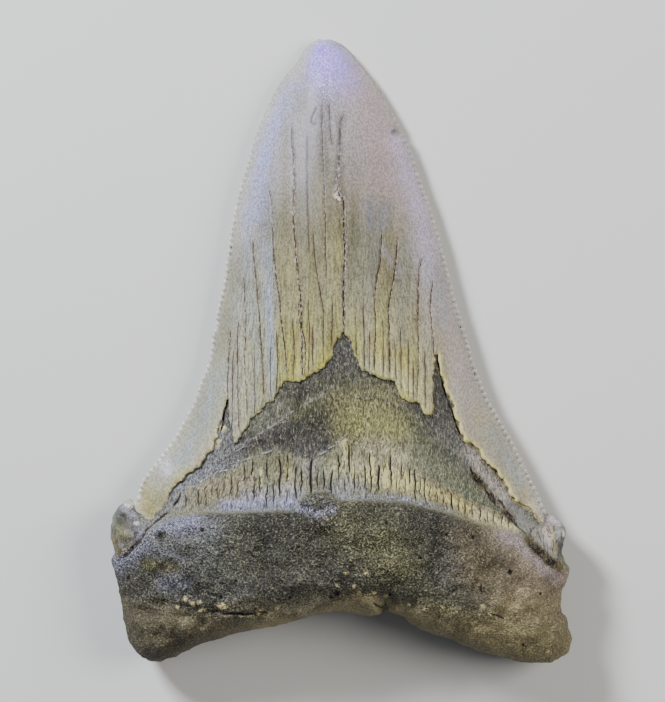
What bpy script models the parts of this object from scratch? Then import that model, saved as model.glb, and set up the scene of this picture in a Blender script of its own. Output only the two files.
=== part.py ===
"""A large fossil shark tooth, one natural piece: enamel crown, neck and two-lobed root.

It lies on its flat outer (labial) face with its domed inner (lingual) face up.
+Y runs from the root to the tip, +Z is up, and the origin is under the middle of the tooth.
Lengths are in millimetres here, and MM turns them into metres when the mesh is written.
"""

import bmesh
import bpy
import numpy as np
from mathutils import Vector, noise
from mathutils.geometry import delaunay_2d_cdt

MM = 0.001

# Thickness, from the flat face up, along the middle of the tooth: (y, height).
RIDGE = [(56.2, 2.6), (52.0, 5.0), (45.0, 8.0), (27.0, 12.7), (9.0, 15.6), (0.0, 16.6),
         (-9.0, 17.2), (-20.0, 18.0), (-30.0, 19.4)]
# Height of the cutting edge, and further down of the root's widest line: (y, height).
EDGE_HEIGHT = [(56.2, 1.6), (40.0, 2.4), (0.0, 3.4), (-27.0, 5.0), (-34.0, 7.5), (-56.2, 7.0)]
# Where the cutting edges end and the root's sides begin.
SHOULDER_Y = -28.0
# Thickness of the root from its middle out to the end of a lobe: (distance from middle, height).
ROOT_HEIGHT = [(0.0, 23.0), (10.0, 22.2), (20.0, 19.4), (30.0, 15.6), (37.0, 13.0), (42.0, 11.0)]

# The enamel's thickness, which shows as a step at its ragged foot.
ENAMEL_STEP = 0.6
# The neck's shallow hollow, deepest at this distance above the root's rim.
NECK_HOLLOW = 0.7
NECK_MIDDLE = 6.0
# Over this length the neck rises into the root.
RIM_RISE = 5.0
UNDER_RISE = 8.0
# How far in from the outline the root's upper and lower sides are rounded.
ROOT_ROUNDING = 8.0
UNDER_ROUNDING = 6.0
# The domed face falls off as this power of the distance from the middle line, the other as this.
BLADE_POWER = 2.1
UNDER_POWER = 2.6
# The lower face is cut off flat this far up.
FLAT_DEPTH = 0.3
# Swelling of the small side cusps under the shoulders, above and below the edge.
CUSP_HEIGHT = 3.0
CUSP_ROUNDING = 2.6
CUSP_TOP_Y = -26.0
CUSP_FULL_Y = -30.0
# Foot of the enamel on the lower face, which is smooth there.
UNDER_ENAMEL_Y = -22.0

SERRATION_PITCH = 1.24
SERRATION_DEPTH = 0.44
# Points over which the serrations fade out towards the tip and the shoulders.
SERRATION_FADE = 8

# Outline seen from above, as (x, y), down each side from the tip.
LEFT_TIP = [(-2.9, 56.2), (-4.9, 55.7), (-6.8, 53.9), (-10.8, 48.5), (-14.4, 41.3), (-16.9, 34.1),
            (-18.9, 26.9)]
LEFT_BLADE = [(-18.9, 26.9), (-20.2, 19.7), (-21.2, 12.5), (-22.2, 6.6), (-23.8, -1.9),
              (-26.5, -9.1), (-30.4, -16.3), (-35.2, -22.9), (-36.4, -25.6), (-37.3, -27.6)]
LEFT_LOBE = [(-37.3, -27.6), (-38.3, -27.7), (-39.6, -28.7), (-40.9, -31.2), (-41.2, -33.9),
             (-40.7, -35.5), (-41.1, -37.9), (-40.1, -41.5), (-39.5, -45.0), (-38.0, -51.6),
             (-36.2, -54.6), (-33.5, -55.9), (-30.4, -55.2)]
BASE = [(-30.4, -55.2), (-27.2, -53.7), (-22.7, -51.9), (-12.8, -49.6), (-3.8, -47.2), (1.5, -46.9),
        (5.6, -47.5), (7.4, -47.1), (8.1, -45.9), (9.0, -46.8), (12.4, -49.0), (20.5, -52.6),
        (29.5, -55.5), (34.0, -56.1), (38.0, -56.2)]
RIGHT_LOBE = [(38.0, -56.2), (40.3, -54.6), (41.2, -51.9), (40.7, -49.0), (39.4, -46.5),
              (39.5, -43.6), (40.9, -39.3), (39.7, -36.4), (40.1, -33.6), (38.7, -30.6),
              (36.9, -29.4)]
RIGHT_BLADE = [(36.9, -29.4), (35.3, -25.3), (32.6, -19.9), (30.3, -15.4), (28.9, -12.7),
               (27.3, -10.5), (26.2, -8.2), (23.9, -1.9), (21.8, 5.3), (19.8, 12.5), (18.0, 19.7),
               (15.8, 26.9), (13.3, 34.1), (11.3, 38.6)]
RIGHT_TIP = [(11.3, 38.6), (10.2, 39.8), (10.1, 41.3), (8.1, 44.9), (5.9, 48.5), (1.6, 53.9),
             (-0.5, 55.6), (-1.6, 55.9), (-2.9, 56.2)]

# Ragged lower edge of the enamel, from the left shoulder to the right one.
ENAMEL_EDGE = [(-37.3, -27.6), (-35.6, -29.4), (-33.8, -30.0), (-32.4, -28.8), (-30.4, -25.5),
               (-29.0, -23.7), (-26.8, -21.6), (-25.6, -21.1), (-24.5, -19.7), (-22.3, -16.8),
               (-21.6, -13.9), (-20.9, -11.1), (-20.4, -8.6), (-20.0, -8.6), (-19.8, -11.8),
               (-19.3, -15.4), (-18.7, -16.5), (-18.2, -15.8), (-16.6, -13.9), (-16.2, -12.2),
               (-14.9, -11.8), (-13.7, -10.9), (-13.3, -9.4), (-11.7, -9.1), (-11.0, -7.1),
               (-9.8, -5.8), (-6.3, -5.5), (-4.1, -4.0), (-2.9, -3.1), (-1.4, -1.3), (-1.0, 1.7),
               (-0.4, 2.0), (0.3, 2.9), (1.1, 1.8), (1.8, 1.1), (2.3, -1.2), (3.5, -3.3),
               (5.5, -4.4), (7.0, -5.5), (8.8, -5.6), (9.8, -7.2), (10.8, -8.7), (12.8, -9.1),
               (14.4, -10.5), (15.5, -11.4), (16.1, -10.4), (16.4, -4.6), (16.6, -1.0),
               (17.1, -1.0), (18.0, -4.8), (18.9, -8.2), (20.0, -10.9), (20.8, -13.5),
               (22.0, -15.9), (23.7, -16.8), (25.6, -19.0), (28.6, -22.6), (30.2, -25.4),
               (30.9, -27.0), (34.0, -28.3), (35.6, -30.1), (36.9, -29.4)]

# Upper rim of the root, where it stands above the neck.
ROOT_RIM = [(-38.8, -34.5), (-36.0, -35.0), (-34.4, -32.9), (-30.8, -30.9), (-25.6, -29.3),
            (-18.2, -28.5), (-9.0, -28.4), (-2.0, -28.2), (0.5, -26.4), (9.0, -26.6),
            (16.0, -28.2), (22.5, -29.8), (27.7, -31.3), (31.0, -32.6), (34.5, -36.0),
            (38.0, -38.8)]

# Long splits in the enamel and the root: half width, depth and course.
SPLITS = [
    (0.35, 0.45, [(-9.0, 39.9), (-8.5, 32.3), (-8.3, 22.4), (-7.6, 12.5), (-7.2, 5.3), (-7.2, -3.0)]),
    (0.40, 0.50, [(0.5, 42.8), (-0.2, 35.9), (-0.4, 30.0), (0.1, 24.0), (0.4, 14.0), (0.4, 4.5)]),
    (0.30, 0.35, [(-12.7, 25.0), (-11.9, 17.9), (-10.8, 9.0), (-9.6, -3.4)]),
    (0.30, 0.35, [(-3.2, 40.0), (-3.1, 26.0), (-2.7, 11.0)]),
    (0.30, 0.35, [(6.7, 17.0), (6.1, 8.9), (5.8, -2.5)]),
    (0.30, 0.35, [(14.4, 15.8), (13.7, 8.9), (13.4, -7.0)]),
    (0.55, 0.80, [(23.6, -21.8), (26.0, -25.4), (30.2, -30.5), (33.4, -34.0), (37.2, -38.0)]),
    (0.45, 0.70, [(-40.2, -36.9), (-38.2, -36.1), (-35.4, -33.8), (-34.0, -31.4), (-31.4, -29.2),
                  (-29.0, -27.0), (-27.4, -24.6)]),
]
# Crease under the root's swelling, where its basal face begins.
BASE_CREASE = (0.90, 0.55, [(-37.0, -45.2), (-30.0, -45.4), (-20.0, -46.2), (-12.0, -45.6),
                            (-4.0, -43.4), (5.0, -43.6), (12.0, -44.6), (20.0, -45.6),
                            (30.0, -47.8), (38.0, -47.6)])
# Upright slits in the neck, in a row above the root's rim that bends down at its ends.
SLITS_FROM = -18.4
SLITS_TO = 22.6
SLIT_COUNT = 23
SLIT_TOP = -18.2
SLIT_TOP_DROP = 0.0085
SLIT_LENGTH = 7.6
SLIT_HALF_WIDTH = 0.36
SLIT_DEPTH = 0.65
# Hollows in the root: x, y, radius and depth.
PITS = [(-31.7, -38.8, 1.1, 0.8), (-32.2, -34.6, 1.8, 0.5), (-1.0, -42.6, 1.1, 0.7),
        (29.7, -39.5, 1.0, 0.8), (23.4, -33.6, 1.1, 0.7), (-4.2, -29.6, 2.2, 0.9),
        (-16.5, -45.6, 1.2, 0.8), (-20.6, -45.9, 1.3, 0.8), (-27.6, -45.3, 1.1, 0.6)]

# Uneven swellings of the root: size across and height.
LUMPS = [(5.5, 0.7), (2.2, 0.45)]

# Spacing of the mesh's points on the crown, the root and the lower face.
CROWN_SPACING = 2.05
ROOT_SPACING = 1.5
UNDER_SPACING = 4.2
# Rings of points follow the outline at these depths inside it.
CROWN_RINGS = (0.85, 2.1, 3.7)
ROOT_RINGS = (0.15, 0.7, 1.7, 3.2)
RING_SPACING = 1.55
UNDER_RING_SPACING = 2.2
# Gaps kept free of other points, round features, inside the outline and inside the rings.
LINE_CLEARANCE = 0.75
RIM_CLEARANCE = 0.5
FIELD_CLEARANCE = 4.6
# Half the distance between the enamel's edge and the foot of its step.
STEP_HALF_RUN = 0.08
# The part of the flat face that has no points inside it, so that it stays one true plane.
FLAT_PATCH = [(-16.0, -30.0), (-19.0, -41.0), (19.0, -41.0), (16.0, -30.0)]


def smooth_curve(points, step):
    """Points about `step` apart along a Catmull-Rom curve through the given points."""
    given = np.array(points, float)
    ends = np.vstack([2 * given[0] - given[1], given, 2 * given[-1] - given[-2]])
    t = np.linspace(0.0, 1.0, 12, endpoint=False)[:, None]
    spans = []
    for a, b, c, d in zip(ends, ends[1:], ends[2:], ends[3:]):
        cubic = (3 * b - a - 3 * c + d) * t**3 + (2 * a - 5 * b + 4 * c - d) * t**2
        spans.append(0.5 * (2 * b + (c - a) * t + cubic))
    dense = np.vstack([*spans, given[-1:]])
    return resampled(dense, step)


def resampled(line, step):
    """The same line with its points about `step` apart."""
    along = np.append(0.0, np.hypot(*np.diff(line, axis=0).T).cumsum())
    places = np.linspace(0.0, along[-1], max(1, round(along[-1] / step)) + 1)
    return np.column_stack([np.interp(places, along, line[:, k]) for k in (0, 1)])


def inward(line):
    """Unit vectors to the left of a line's direction, which is into a loop that runs anticlockwise."""
    run = np.gradient(line, axis=0)
    run /= np.hypot(*run.T)[:, None]
    return np.column_stack([-run[:, 1], run[:, 0]])


def serrated(line):
    """A cutting edge with every second point set back, fading out at both ends."""
    steps = np.arange(len(line))
    fade = np.clip(np.minimum(steps, steps[::-1]) / SERRATION_FADE, 0.0, 1.0)
    depth = SERRATION_DEPTH * fade * (0.8 + 0.4 * np.sin(steps * 1.7))
    return line + inward(line) * (depth * (steps % 2))[:, None]


def outline(toothed):
    """The closed outline, anticlockwise from the tip, with its serrations or without."""
    half_pitch = SERRATION_PITCH / 2
    left = smooth_curve(LEFT_BLADE, half_pitch)
    right = smooth_curve(RIGHT_BLADE, half_pitch)
    stretches = [
        smooth_curve(LEFT_TIP, 2.0),
        serrated(left) if toothed else left,
        smooth_curve(LEFT_LOBE, 1.6),
        smooth_curve(BASE, 1.7),
        smooth_curve(RIGHT_LOBE, 1.6),
        serrated(right) if toothed else right,
        smooth_curve(RIGHT_TIP, 2.0),
    ]
    return np.vstack([stretch[:-1] for stretch in stretches])


def inside(points, polygon):
    """Which points lie in the polygon: a ray from such a point crosses it an odd number of times."""
    x, y = points[:, :1], points[:, 1:]
    start, end = polygon, np.roll(polygon, -1, axis=0)
    spans = (start[:, 1] > y) != (end[:, 1] > y)
    rise = np.where(start[:, 1] == end[:, 1], 1.0, end[:, 1] - start[:, 1])
    crossing = start[:, 0] + (y - start[:, 1]) / rise * (end[:, 0] - start[:, 0])
    return (spans & (x < crossing)).sum(axis=1) % 2 == 1


def distance(points, line):
    """How far each point is from the line."""
    start, run = line[:-1], np.diff(line, axis=0)
    reach = points[:, None] - start
    t = np.clip((reach * run).sum(axis=2) / (run**2).sum(axis=1), 0.0, 1.0)
    return np.sqrt(((reach - t[..., None] * run) ** 2).sum(axis=2)).min(axis=1)


def closed(loop):
    """The loop with its first point again at its end."""
    return np.vstack([loop, loop[:1]])


def height_at(table, y):
    """A height read from a smooth curve through a table of (place, height)."""
    curve = smooth_curve(table, 0.5)
    order = curve[:, 0].argsort()
    return np.interp(y, curve[order, 0], curve[order, 1])


def smooth_step(low, high, value):
    """0 below `low`, 1 above `high`, and an even S between them."""
    t = np.clip((value - low) / (high - low), 0.0, 1.0)
    return t * t * (3 - 2 * t)


def blade_share(points):
    """0 on the crown's middle line and 1 on its cutting edges, at each point's own height."""
    left = smooth_curve(LEFT_TIP[:-1] + LEFT_BLADE, 0.5)[::-1]
    right = smooth_curve(RIGHT_BLADE + RIGHT_TIP[1:-1], 0.5)
    left_x = np.interp(points[:, 1], left[:, 1], left[:, 0])
    right_x = np.interp(points[:, 1], right[:, 1], right[:, 0])
    share = (2 * points[:, 0] - left_x - right_x) / (right_x - left_x)
    return np.clip(np.abs(share), 0.0, 1.0)


def root_share(points, reach):
    """0 on the crown and neck, rising to 1 over `reach` at the root's rim."""
    rim = smooth_curve(ROOT_RIM, 1.0)
    order = rim[:, 0].argsort()
    rim_y = np.interp(points[:, 0], rim[order, 0], rim[order, 1])
    return smooth_step(-reach / 2, reach / 2, rim_y - points[:, 1])


def rounded(depth, radius):
    """A quarter circle's rise, from 0 at the outline to 1 at `radius` inside it."""
    return np.sqrt(1.0 - (1.0 - np.clip(depth / radius, 0.0, 1.0)) ** 2)


def lumps(points):
    """Low uneven swellings of the root's surface, coarse ones and fine ones."""
    found = np.zeros(len(points))
    for size, height in LUMPS:
        found += [height * noise.noise(Vector((x, y, size)) / size) for x, y in points]
    return found


def cusps(points, depth):
    """The swelling of the side cusps, which round over at the outline below each shoulder."""
    fade = smooth_step(-CUSP_TOP_Y, -CUSP_FULL_Y, -points[:, 1])
    return CUSP_HEIGHT * rounded(depth, CUSP_ROUNDING) * fade


def grooves():
    """The long splits, the crease and the neck's slits, each as half width, depth and line."""
    courses = [*SPLITS, BASE_CREASE]
    found = [(half, depth, smooth_curve(course, 3.2)) for half, depth, course in courses]
    for k, x in enumerate(np.linspace(SLITS_FROM, SLITS_TO, SLIT_COUNT)):
        x += 0.35 * np.sin(2.4 * k)
        top = SLIT_TOP - SLIT_TOP_DROP * x * x + 0.9 * np.sin(1.9 * k)
        bottom = top - SLIT_LENGTH * (0.85 + 0.15 * np.sin(3.1 * k))
        line = np.array([(x - 0.1, top), (x + 0.15, (top + bottom) / 2), (x, bottom)])
        found.append((SLIT_HALF_WIDTH, SLIT_DEPTH, line))
    return found


def top_height(points, rim, enamel):
    """Height of the upper, lingual face."""
    x, y = points.T
    depth = distance(points, closed(rim))
    edge = height_at(EDGE_HEIGHT, y)
    crown = edge + (height_at(RIDGE, y) - edge) * (1.0 - blade_share(points) ** BLADE_POWER)
    crown = np.maximum(crown, edge + cusps(points, depth))
    root = edge + (height_at(ROOT_HEIGHT, np.abs(x)) - edge) * rounded(depth, ROOT_ROUNDING)
    root += lumps(points) * np.clip(depth / 3.0, 0.0, 1.0)
    share = root_share(points, RIM_RISE)
    height = crown + (root - crown) * share
    covered = inside(points, enamel)
    from_middle = np.abs(distance(points, smooth_curve(ROOT_RIM, 2.0)) - NECK_MIDDLE)
    neck = np.clip(1.0 - from_middle / NECK_MIDDLE, 0.0, 1.0) * (1.0 - share) * ~covered
    height -= NECK_HOLLOW * neck * np.clip(depth / NECK_MIDDLE, 0.0, 1.0)
    height += ENAMEL_STEP * covered * np.clip(depth / 2.0, 0.0, 1.0)
    for half_width, cut, line in grooves():
        fade = np.clip(depth / 3.0, 0.0, 1.0)
        height -= cut * fade * np.clip(1.0 - distance(points, line) / half_width, 0.0, 1.0)
    for pit_x, pit_y, radius, cut in PITS:
        height -= cut * np.clip(1.0 - np.hypot(x - pit_x, y - pit_y) / radius, 0.0, 1.0)
    return height


def under_height(points, rim):
    """Height of the lower, labial face, which is truly flat along its middle."""
    depth = distance(points, closed(rim))
    edge = height_at(EDGE_HEIGHT, points[:, 1])
    crown = edge * blade_share(points) ** UNDER_POWER - cusps(points, depth) - FLAT_DEPTH
    root = edge * (1.0 - rounded(depth, UNDER_ROUNDING)) - FLAT_DEPTH
    return np.maximum(0.0, crown + (root - crown) * root_share(points, UNDER_RISE))


def rings(depths, spacing):
    """Points at the given depths inside the smooth outline."""
    plain = outline(toothed=False)
    found = []
    for depth in depths:
        line = resampled(closed(plain), spacing)[:-1]
        points = line + inward(line) * depth
        far_enough = distance(points, closed(plain)) > 0.93 * depth
        found.append(points[inside(points, plain) & far_enough])
    return np.vstack(found)


def edge_rings(spacing):
    """The rings under the blade's edges, and the closer ones round the root."""
    crown = rings(CROWN_RINGS, spacing)
    root = rings(ROOT_RINGS, spacing)
    return np.vstack([crown[crown[:, 1] > SHOULDER_Y], root[root[:, 1] <= SHOULDER_Y]])


def field(rim, spacing):
    """A triangular grid of points inside the outline."""
    rows = np.arange(rim[:, 1].min(), rim[:, 1].max(), spacing * np.sqrt(0.75))
    columns = np.arange(rim[:, 0].min(), rim[:, 0].max(), spacing)
    x, y = np.meshgrid(columns, rows)
    x = x + (np.arange(len(rows)) % 2)[:, None] * spacing / 2
    points = np.column_stack([x.ravel(), y.ravel()])
    return points[inside(points, rim) & (distance(points, closed(rim)) > FIELD_CLEARANCE)]


def clear_of_rim(line, rim):
    """Which of a line's points are far enough inside the outline to make sound triangles."""
    return inside(line, rim) & (distance(line, closed(rim)) > RIM_CLEARANCE)


def triangulated(rim, lines, loose):
    """Triangles over the outline that keep the given lines as edges, as points and faces."""
    lines = [line[clear_of_rim(line, rim)] for line in lines]
    chains = [closed(rim), *(line for line in lines if len(line) > 1)]
    points, edges = [], []
    for chain in chains:
        first = len(points)
        points.extend(chain)
        edges.extend((first + i, first + i + 1) for i in range(len(chain) - 1))
    for line in lines:
        if len(line) > 1:
            loose = loose[distance(loose, line) > LINE_CLEARANCE]
    points.extend(loose)
    made = delaunay_2d_cdt([Vector(p) for p in points], edges, [], 1, 1e-5)
    points.extend(bridge_middles(made, len(rim)))
    made = delaunay_2d_cdt([Vector(p) for p in points], edges, [], 1, 1e-5)
    return np.array([tuple(p) for p in made[0]]), made[2]


def bridge_middles(made, count):
    """Middles of the sides that join two outline points across the root of a serration.

    Without a point there, the upper and the lower face would share that side.
    """
    corners, _, faces, sources = made[:4]
    place = {i: min(given) for i, given in enumerate(sources) if given and min(given) < count}
    middles = []
    for face in faces:
        for i, j in zip(face, face[1:] + face[:1]):
            if i in place and j in place and abs(place[i] - place[j]) not in (1, count - 1):
                middles.append((corners[i] + corners[j]) / 2)
    return middles


def offset_line(line, gap):
    """The line moved sideways, to its left where `gap` is positive."""
    return line + inward(line) * gap


def top_face(rim):
    """The lingual face: points with heights, and triangles."""
    edge = np.array(ENAMEL_EDGE)
    enamel = np.vstack([edge, smooth_curve(RIGHT_BLADE + RIGHT_TIP[1:], 1.0) + (3.0, 0.0),
                        smooth_curve(LEFT_TIP + LEFT_BLADE[1:], 1.0) - (3.0, 0.0)])
    foot = smooth_curve(ROOT_RIM, 1.8)
    lines = [offset_line(edge, STEP_HALF_RUN), offset_line(edge, -STEP_HALF_RUN), foot,
             offset_line(foot, RIM_RISE / 2)]
    for half_width, _, line in grooves():
        lines.append(line)
        lines.append(offset_line(line, half_width))
        lines.append(offset_line(line, -half_width))
    for x, y, radius, _ in PITS:
        turn = np.linspace(0.0, 2 * np.pi, 9)
        lines.append(np.column_stack([x + radius * np.cos(turn), y + radius * np.sin(turn)]))
    crown = field(rim, CROWN_SPACING)
    root = field(rim, ROOT_SPACING)
    grid = [crown[root_share(crown, RIM_RISE) < 0.5], root[root_share(root, RIM_RISE) >= 0.5]]
    loose = np.vstack([edge_rings(RING_SPACING), *grid, [(x, y) for x, y, _, _ in PITS]])
    points, faces = triangulated(rim, lines, loose)
    return points, top_height(points, rim, enamel), faces, inside(points, enamel)


def under_face(rim):
    """The labial face: points with heights, and triangles."""
    patch = closed(np.array(FLAT_PATCH))
    grid = field(rim, UNDER_SPACING)
    grid = grid[~inside(grid, patch[:-1])]
    points, faces = triangulated(rim, [patch], np.vstack([edge_rings(UNDER_RING_SPACING), grid]))
    return points, under_height(points, rim), [face[::-1] for face in faces]


def material(name, colour, roughness):
    """A plain finish."""
    made = bpy.data.materials.new(name)
    made.use_nodes = True
    shader = made.node_tree.nodes["Principled BSDF"]
    shader.inputs["Base Color"].default_value = (*colour, 1.0)
    shader.inputs["Roughness"].default_value = roughness
    shader.inputs["Metallic"].default_value = 0.0
    return made


def build_tooth():
    """The tooth: both faces share the outline's points, which lie at the edge's height."""
    rim = outline(toothed=True)
    whole = bmesh.new()
    top_points, top_heights, top_faces, enamelled = top_face(rim)
    under_points, under_heights, under_faces = under_face(rim)
    for points, heights, faces, covered in (
        (top_points, top_heights, top_faces, enamelled),
        (under_points, under_heights, under_faces, under_points[:, 1] > UNDER_ENAMEL_Y),
    ):
        on_rim = distance(points, closed(rim)) < 1e-3
        heights = np.where(on_rim, height_at(EDGE_HEIGHT, points[:, 1]), heights)
        corners = [whole.verts.new(Vector((*p, z)) * MM) for p, z in zip(points, heights)]
        for face in faces:
            made = whole.faces.new([corners[i] for i in face])
            made.material_index = 0 if all(covered[i] for i in face) else 1
            made.smooth = True
    bmesh.ops.remove_doubles(whole, verts=whole.verts, dist=1e-6)
    mesh = bpy.data.meshes.new("shark_tooth")
    whole.to_mesh(mesh)
    whole.free()
    mesh.materials.append(material("enamel", (0.37, 0.35, 0.24), 0.35))
    mesh.materials.append(material("root", (0.06, 0.055, 0.045), 0.7))
    mesh.set_sharp_from_angle(angle=0.7)
    tooth = bpy.data.objects.new("shark_tooth", mesh)
    bpy.context.scene.collection.objects.link(tooth)


for old in list(bpy.data.objects):
    bpy.data.objects.remove(old, do_unlink=True)
build_tooth()
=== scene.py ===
import bpy
import numpy as np
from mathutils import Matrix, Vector
from mathutils.geometry import delaunay_2d_cdt


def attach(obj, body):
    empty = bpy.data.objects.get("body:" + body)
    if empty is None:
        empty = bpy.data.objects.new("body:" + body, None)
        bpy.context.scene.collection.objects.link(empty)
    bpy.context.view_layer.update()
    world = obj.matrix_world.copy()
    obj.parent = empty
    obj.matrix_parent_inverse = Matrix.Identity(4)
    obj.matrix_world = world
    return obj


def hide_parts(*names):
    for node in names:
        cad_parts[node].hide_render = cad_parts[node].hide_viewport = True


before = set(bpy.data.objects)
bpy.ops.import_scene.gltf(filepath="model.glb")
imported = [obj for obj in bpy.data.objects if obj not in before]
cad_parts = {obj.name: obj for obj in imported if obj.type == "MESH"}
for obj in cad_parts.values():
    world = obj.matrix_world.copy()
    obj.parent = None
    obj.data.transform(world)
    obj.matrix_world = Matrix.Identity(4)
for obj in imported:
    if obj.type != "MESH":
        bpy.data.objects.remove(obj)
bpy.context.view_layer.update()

# Tooth.
# A fossil tooth of a giant shark: a hard enamel crown with two serrated cutting edges, grown
# together with a dark neck and a porous bone root of two lobes. It grew as one piece, so it is
# one closed mesh, in millimetres here, lying on its flat outer face with its tip towards +Y.
MM = 0.001

# Its outline seen from above, anticlockwise from the tip.
LEFT_EDGE = [
    (-3.6, 56.1), (-4.3, 56), (-5, 55.5), (-6.1, 54.7), (-6.8, 53.9), (-7.9, 52.1), (-10.8, 48.5),
    (-12.8, 44.9), (-14.4, 41.3), (-15.8, 37.7), (-16.9, 34.1), (-18, 30.5), (-18.9, 26.9), (-19.6, 23.3),
    (-20.2, 19.7), (-20.7, 16.1), (-21.2, 12.5), (-22, 8.9), (-22.6, 5.7), (-22.5, 4), (-23.2, 3),
    (-23.4, 0.8), (-23.9, -2.2), (-25.2, -5.5), (-26.5, -9.1), (-28.3, -12.7), (-30.4, -16.3),
    (-33.1, -19.9), (-34.9, -22.2), (-36.2, -24.4), (-36.6, -26.2), (-37.3, -27.6),
]
LEFT_LOBE = [
    (-37.3, -27.6), (-37.7, -26.9), (-38.5, -27), (-39.5, -27.8), (-40.3, -28.9), (-41, -30.5),
    (-41.2, -33), (-40.8, -35.4), (-40.7, -36.5), (-41.1, -37.5), (-40.7, -39.3), (-40.1, -41.5),
    (-39.5, -44.7), (-39.1, -47.8), (-38, -51.8), (-36.4, -54.5), (-34.4, -55.7), (-32.2, -55.9),
]
BASE = [
    (-32.2, -55.9), (-29.9, -55), (-27.2, -53.7), (-25, -52.7), (-22.7, -52.1), (-18.7, -50.7),
    (-15.5, -50.1), (-12.8, -49.6), (-10.1, -49), (-7.4, -48.3), (-5.2, -47.6), (-3.4, -47.2),
    (-0.2, -46.9), (2, -47.2), (5.2, -47.6), (7, -47.3), (7.7, -46.5), (8, -45.7), (8.3, -46.6),
    (9.5, -47.2), (10.6, -47.6), (11.7, -48.5), (13.3, -49.6), (16, -50.7), (19.6, -51.8), (22.3, -53.2),
    (24.1, -53.8), (26.8, -54.6), (29.5, -55.2), (31.3, -55.8), (34, -56.1), (35.8, -56.2), (37.6, -56.1),
]
RIGHT_LOBE = [
    (37.6, -56.1), (39.4, -55.2), (40.7, -54.1), (41.2, -52.3), (41, -50.5), (40.3, -48.3), (39.5, -46.5),
    (39.6, -43.6), (40.3, -41.3), (40.9, -39.3), (40.3, -38.1), (39.6, -36.6), (39.8, -35), (40.2, -33),
    (39.4, -31.1), (38.2, -29.7), (36.9, -29.4),
]
RIGHT_EDGE = [
    (36.9, -29.4), (35.6, -26.2), (34.4, -23.5), (32.6, -19.9), (30.8, -16.3), (28.8, -12.7), (28.2, -11.6),
    (27.3, -10), (26.5, -8.7), (25.2, -5.5), (23.9, -1.9), (22.9, 1.7), (21.8, 5.3), (20.7, 8.9),
    (19.8, 12.5), (18.9, 16.1), (18, 19.7), (16.9, 23.3), (15.8, 26.9), (14.4, 30.5), (13.3, 34.1),
    (11.9, 37.7), (11.2, 38.8), (10.4, 39.5), (10.6, 40.4), (9.9, 41.7), (8.1, 44.9), (5.9, 48.5),
    (3.1, 52.1), (1.6, 53.9), (0.5, 54.9), (-0.5, 55.5), (-1.8, 56), (-2.7, 56.1), (-3.1, 55.9),
    (-3.6, 56.1),
]


def resampled(line, step):
    """The same line with its points about `step` apart."""
    along = np.append(0.0, np.hypot(*np.diff(line, axis=0).T).cumsum())
    places = np.linspace(0.0, along[-1], max(1, round(along[-1] / step)) + 1)
    return np.column_stack([np.interp(places, along, line[:, k]) for k in (0, 1)])


def smooth(points, step):
    """Points about `step` apart along a Catmull-Rom curve through the given points."""
    given = np.array(points, float)
    ends = np.vstack([2 * given[0] - given[1], given, 2 * given[-1] - given[-2]])
    a, b, c, d = (ends[k:len(ends) - 3 + k, None] for k in range(4))
    t = np.linspace(0.0, 1.0, 16, endpoint=False)[None, :, None]
    cubic = (3 * b - a - 3 * c + d) * t**3 + (2 * a - 5 * b + 4 * c - d) * t**2
    dense = np.vstack([(0.5 * (2 * b + (c - a) * t + cubic)).reshape(-1, 2), given[-1:]])
    return resampled(dense, step)


def shifted(line, distance):
    """The line moved to its left, into a loop that runs anticlockwise, by one distance or many."""
    run = np.gradient(line, axis=0)
    run /= np.hypot(*run.T)[:, None]
    return line + np.column_stack([-run[:, 1], run[:, 0]]) * np.reshape(distance, (-1, 1))


def turned(degrees):
    """Unit vectors along a direction, so many degrees anticlockwise from +X, and square to it."""
    c, s = np.cos(np.radians(degrees)), np.sin(np.radians(degrees))
    return np.array([(c, s), (-s, c)])


def with_sides(line, half):
    """The line itself, and the lines at the distance on its left and on its right."""
    return [line, shifted(line, half), shifted(line, -half)]


def unit(value):
    """The value, kept between 0 and 1."""
    return np.clip(value, 0, 1)


def ease(low, high, value):
    """0 at `low`, 1 at `high` and beyond, and an even S between them."""
    t = unit((value - low) / (high - low))
    return t * t * (3 - 2 * t)


def mottle(points, across, seed, along=None):
    """Smooth random values from -1 to 1 that change over `across` in x and over `along` in y."""
    lattice = np.random.default_rng(seed).uniform(-1, 1, (64, 64))
    place = points / (across, along or across) + 1000.37
    low = np.floor(place).astype(int)
    share = ease(0, 1, place - low)
    x, y = (low % 64).T
    u, v = share.T
    near, far = (lattice[x, (y + k) % 64] * (1 - u) + lattice[(x + 1) % 64, (y + k) % 64] * u
                 for k in (0, 1))
    return near * (1 - v) + far * v


def nearest(points, line):
    """Each point's distance from the line, and how far along the line its nearest place is."""
    steps = np.diff(line, axis=0)
    lengths = np.hypot(*steps.T)
    gap = np.full(len(points), np.inf)
    along = np.zeros(len(points))
    for start, step, length, behind in zip(line, steps, lengths, lengths.cumsum() - lengths):
        reach = points - start
        t = unit(reach @ step / length**2)
        found = np.hypot(*(reach - t[:, None] * step).T)
        along = np.where(found < gap, behind + t * length, along)
        gap = np.minimum(found, gap)
    return gap, along


def inside(points, polygon):
    """Which points lie in the polygon: a ray from such a point crosses it an odd number of times."""
    crossings = np.zeros(len(points), int)
    x, y = points.T
    for (x0, y0), (x1, y1) in zip(polygon, np.roll(polygon, -1, axis=0)):
        spans = (y0 > y) != (y1 > y)
        crossings += spans & (x < x0 + (y - y0) / ((y1 - y0) or 1) * (x1 - x0))
    return crossings % 2 == 1


def closed(loop):
    """The loop with its first point again at its end."""
    return np.vstack([loop, loop[:1]])


# The cutting edges are cut into fine rounded teeth, strongest along the middle of the blade.
SERRATION_PITCH = 1.12
SERRATION_DEPTH = 0.50
POINTS_PER_TOOTH = 6


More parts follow.
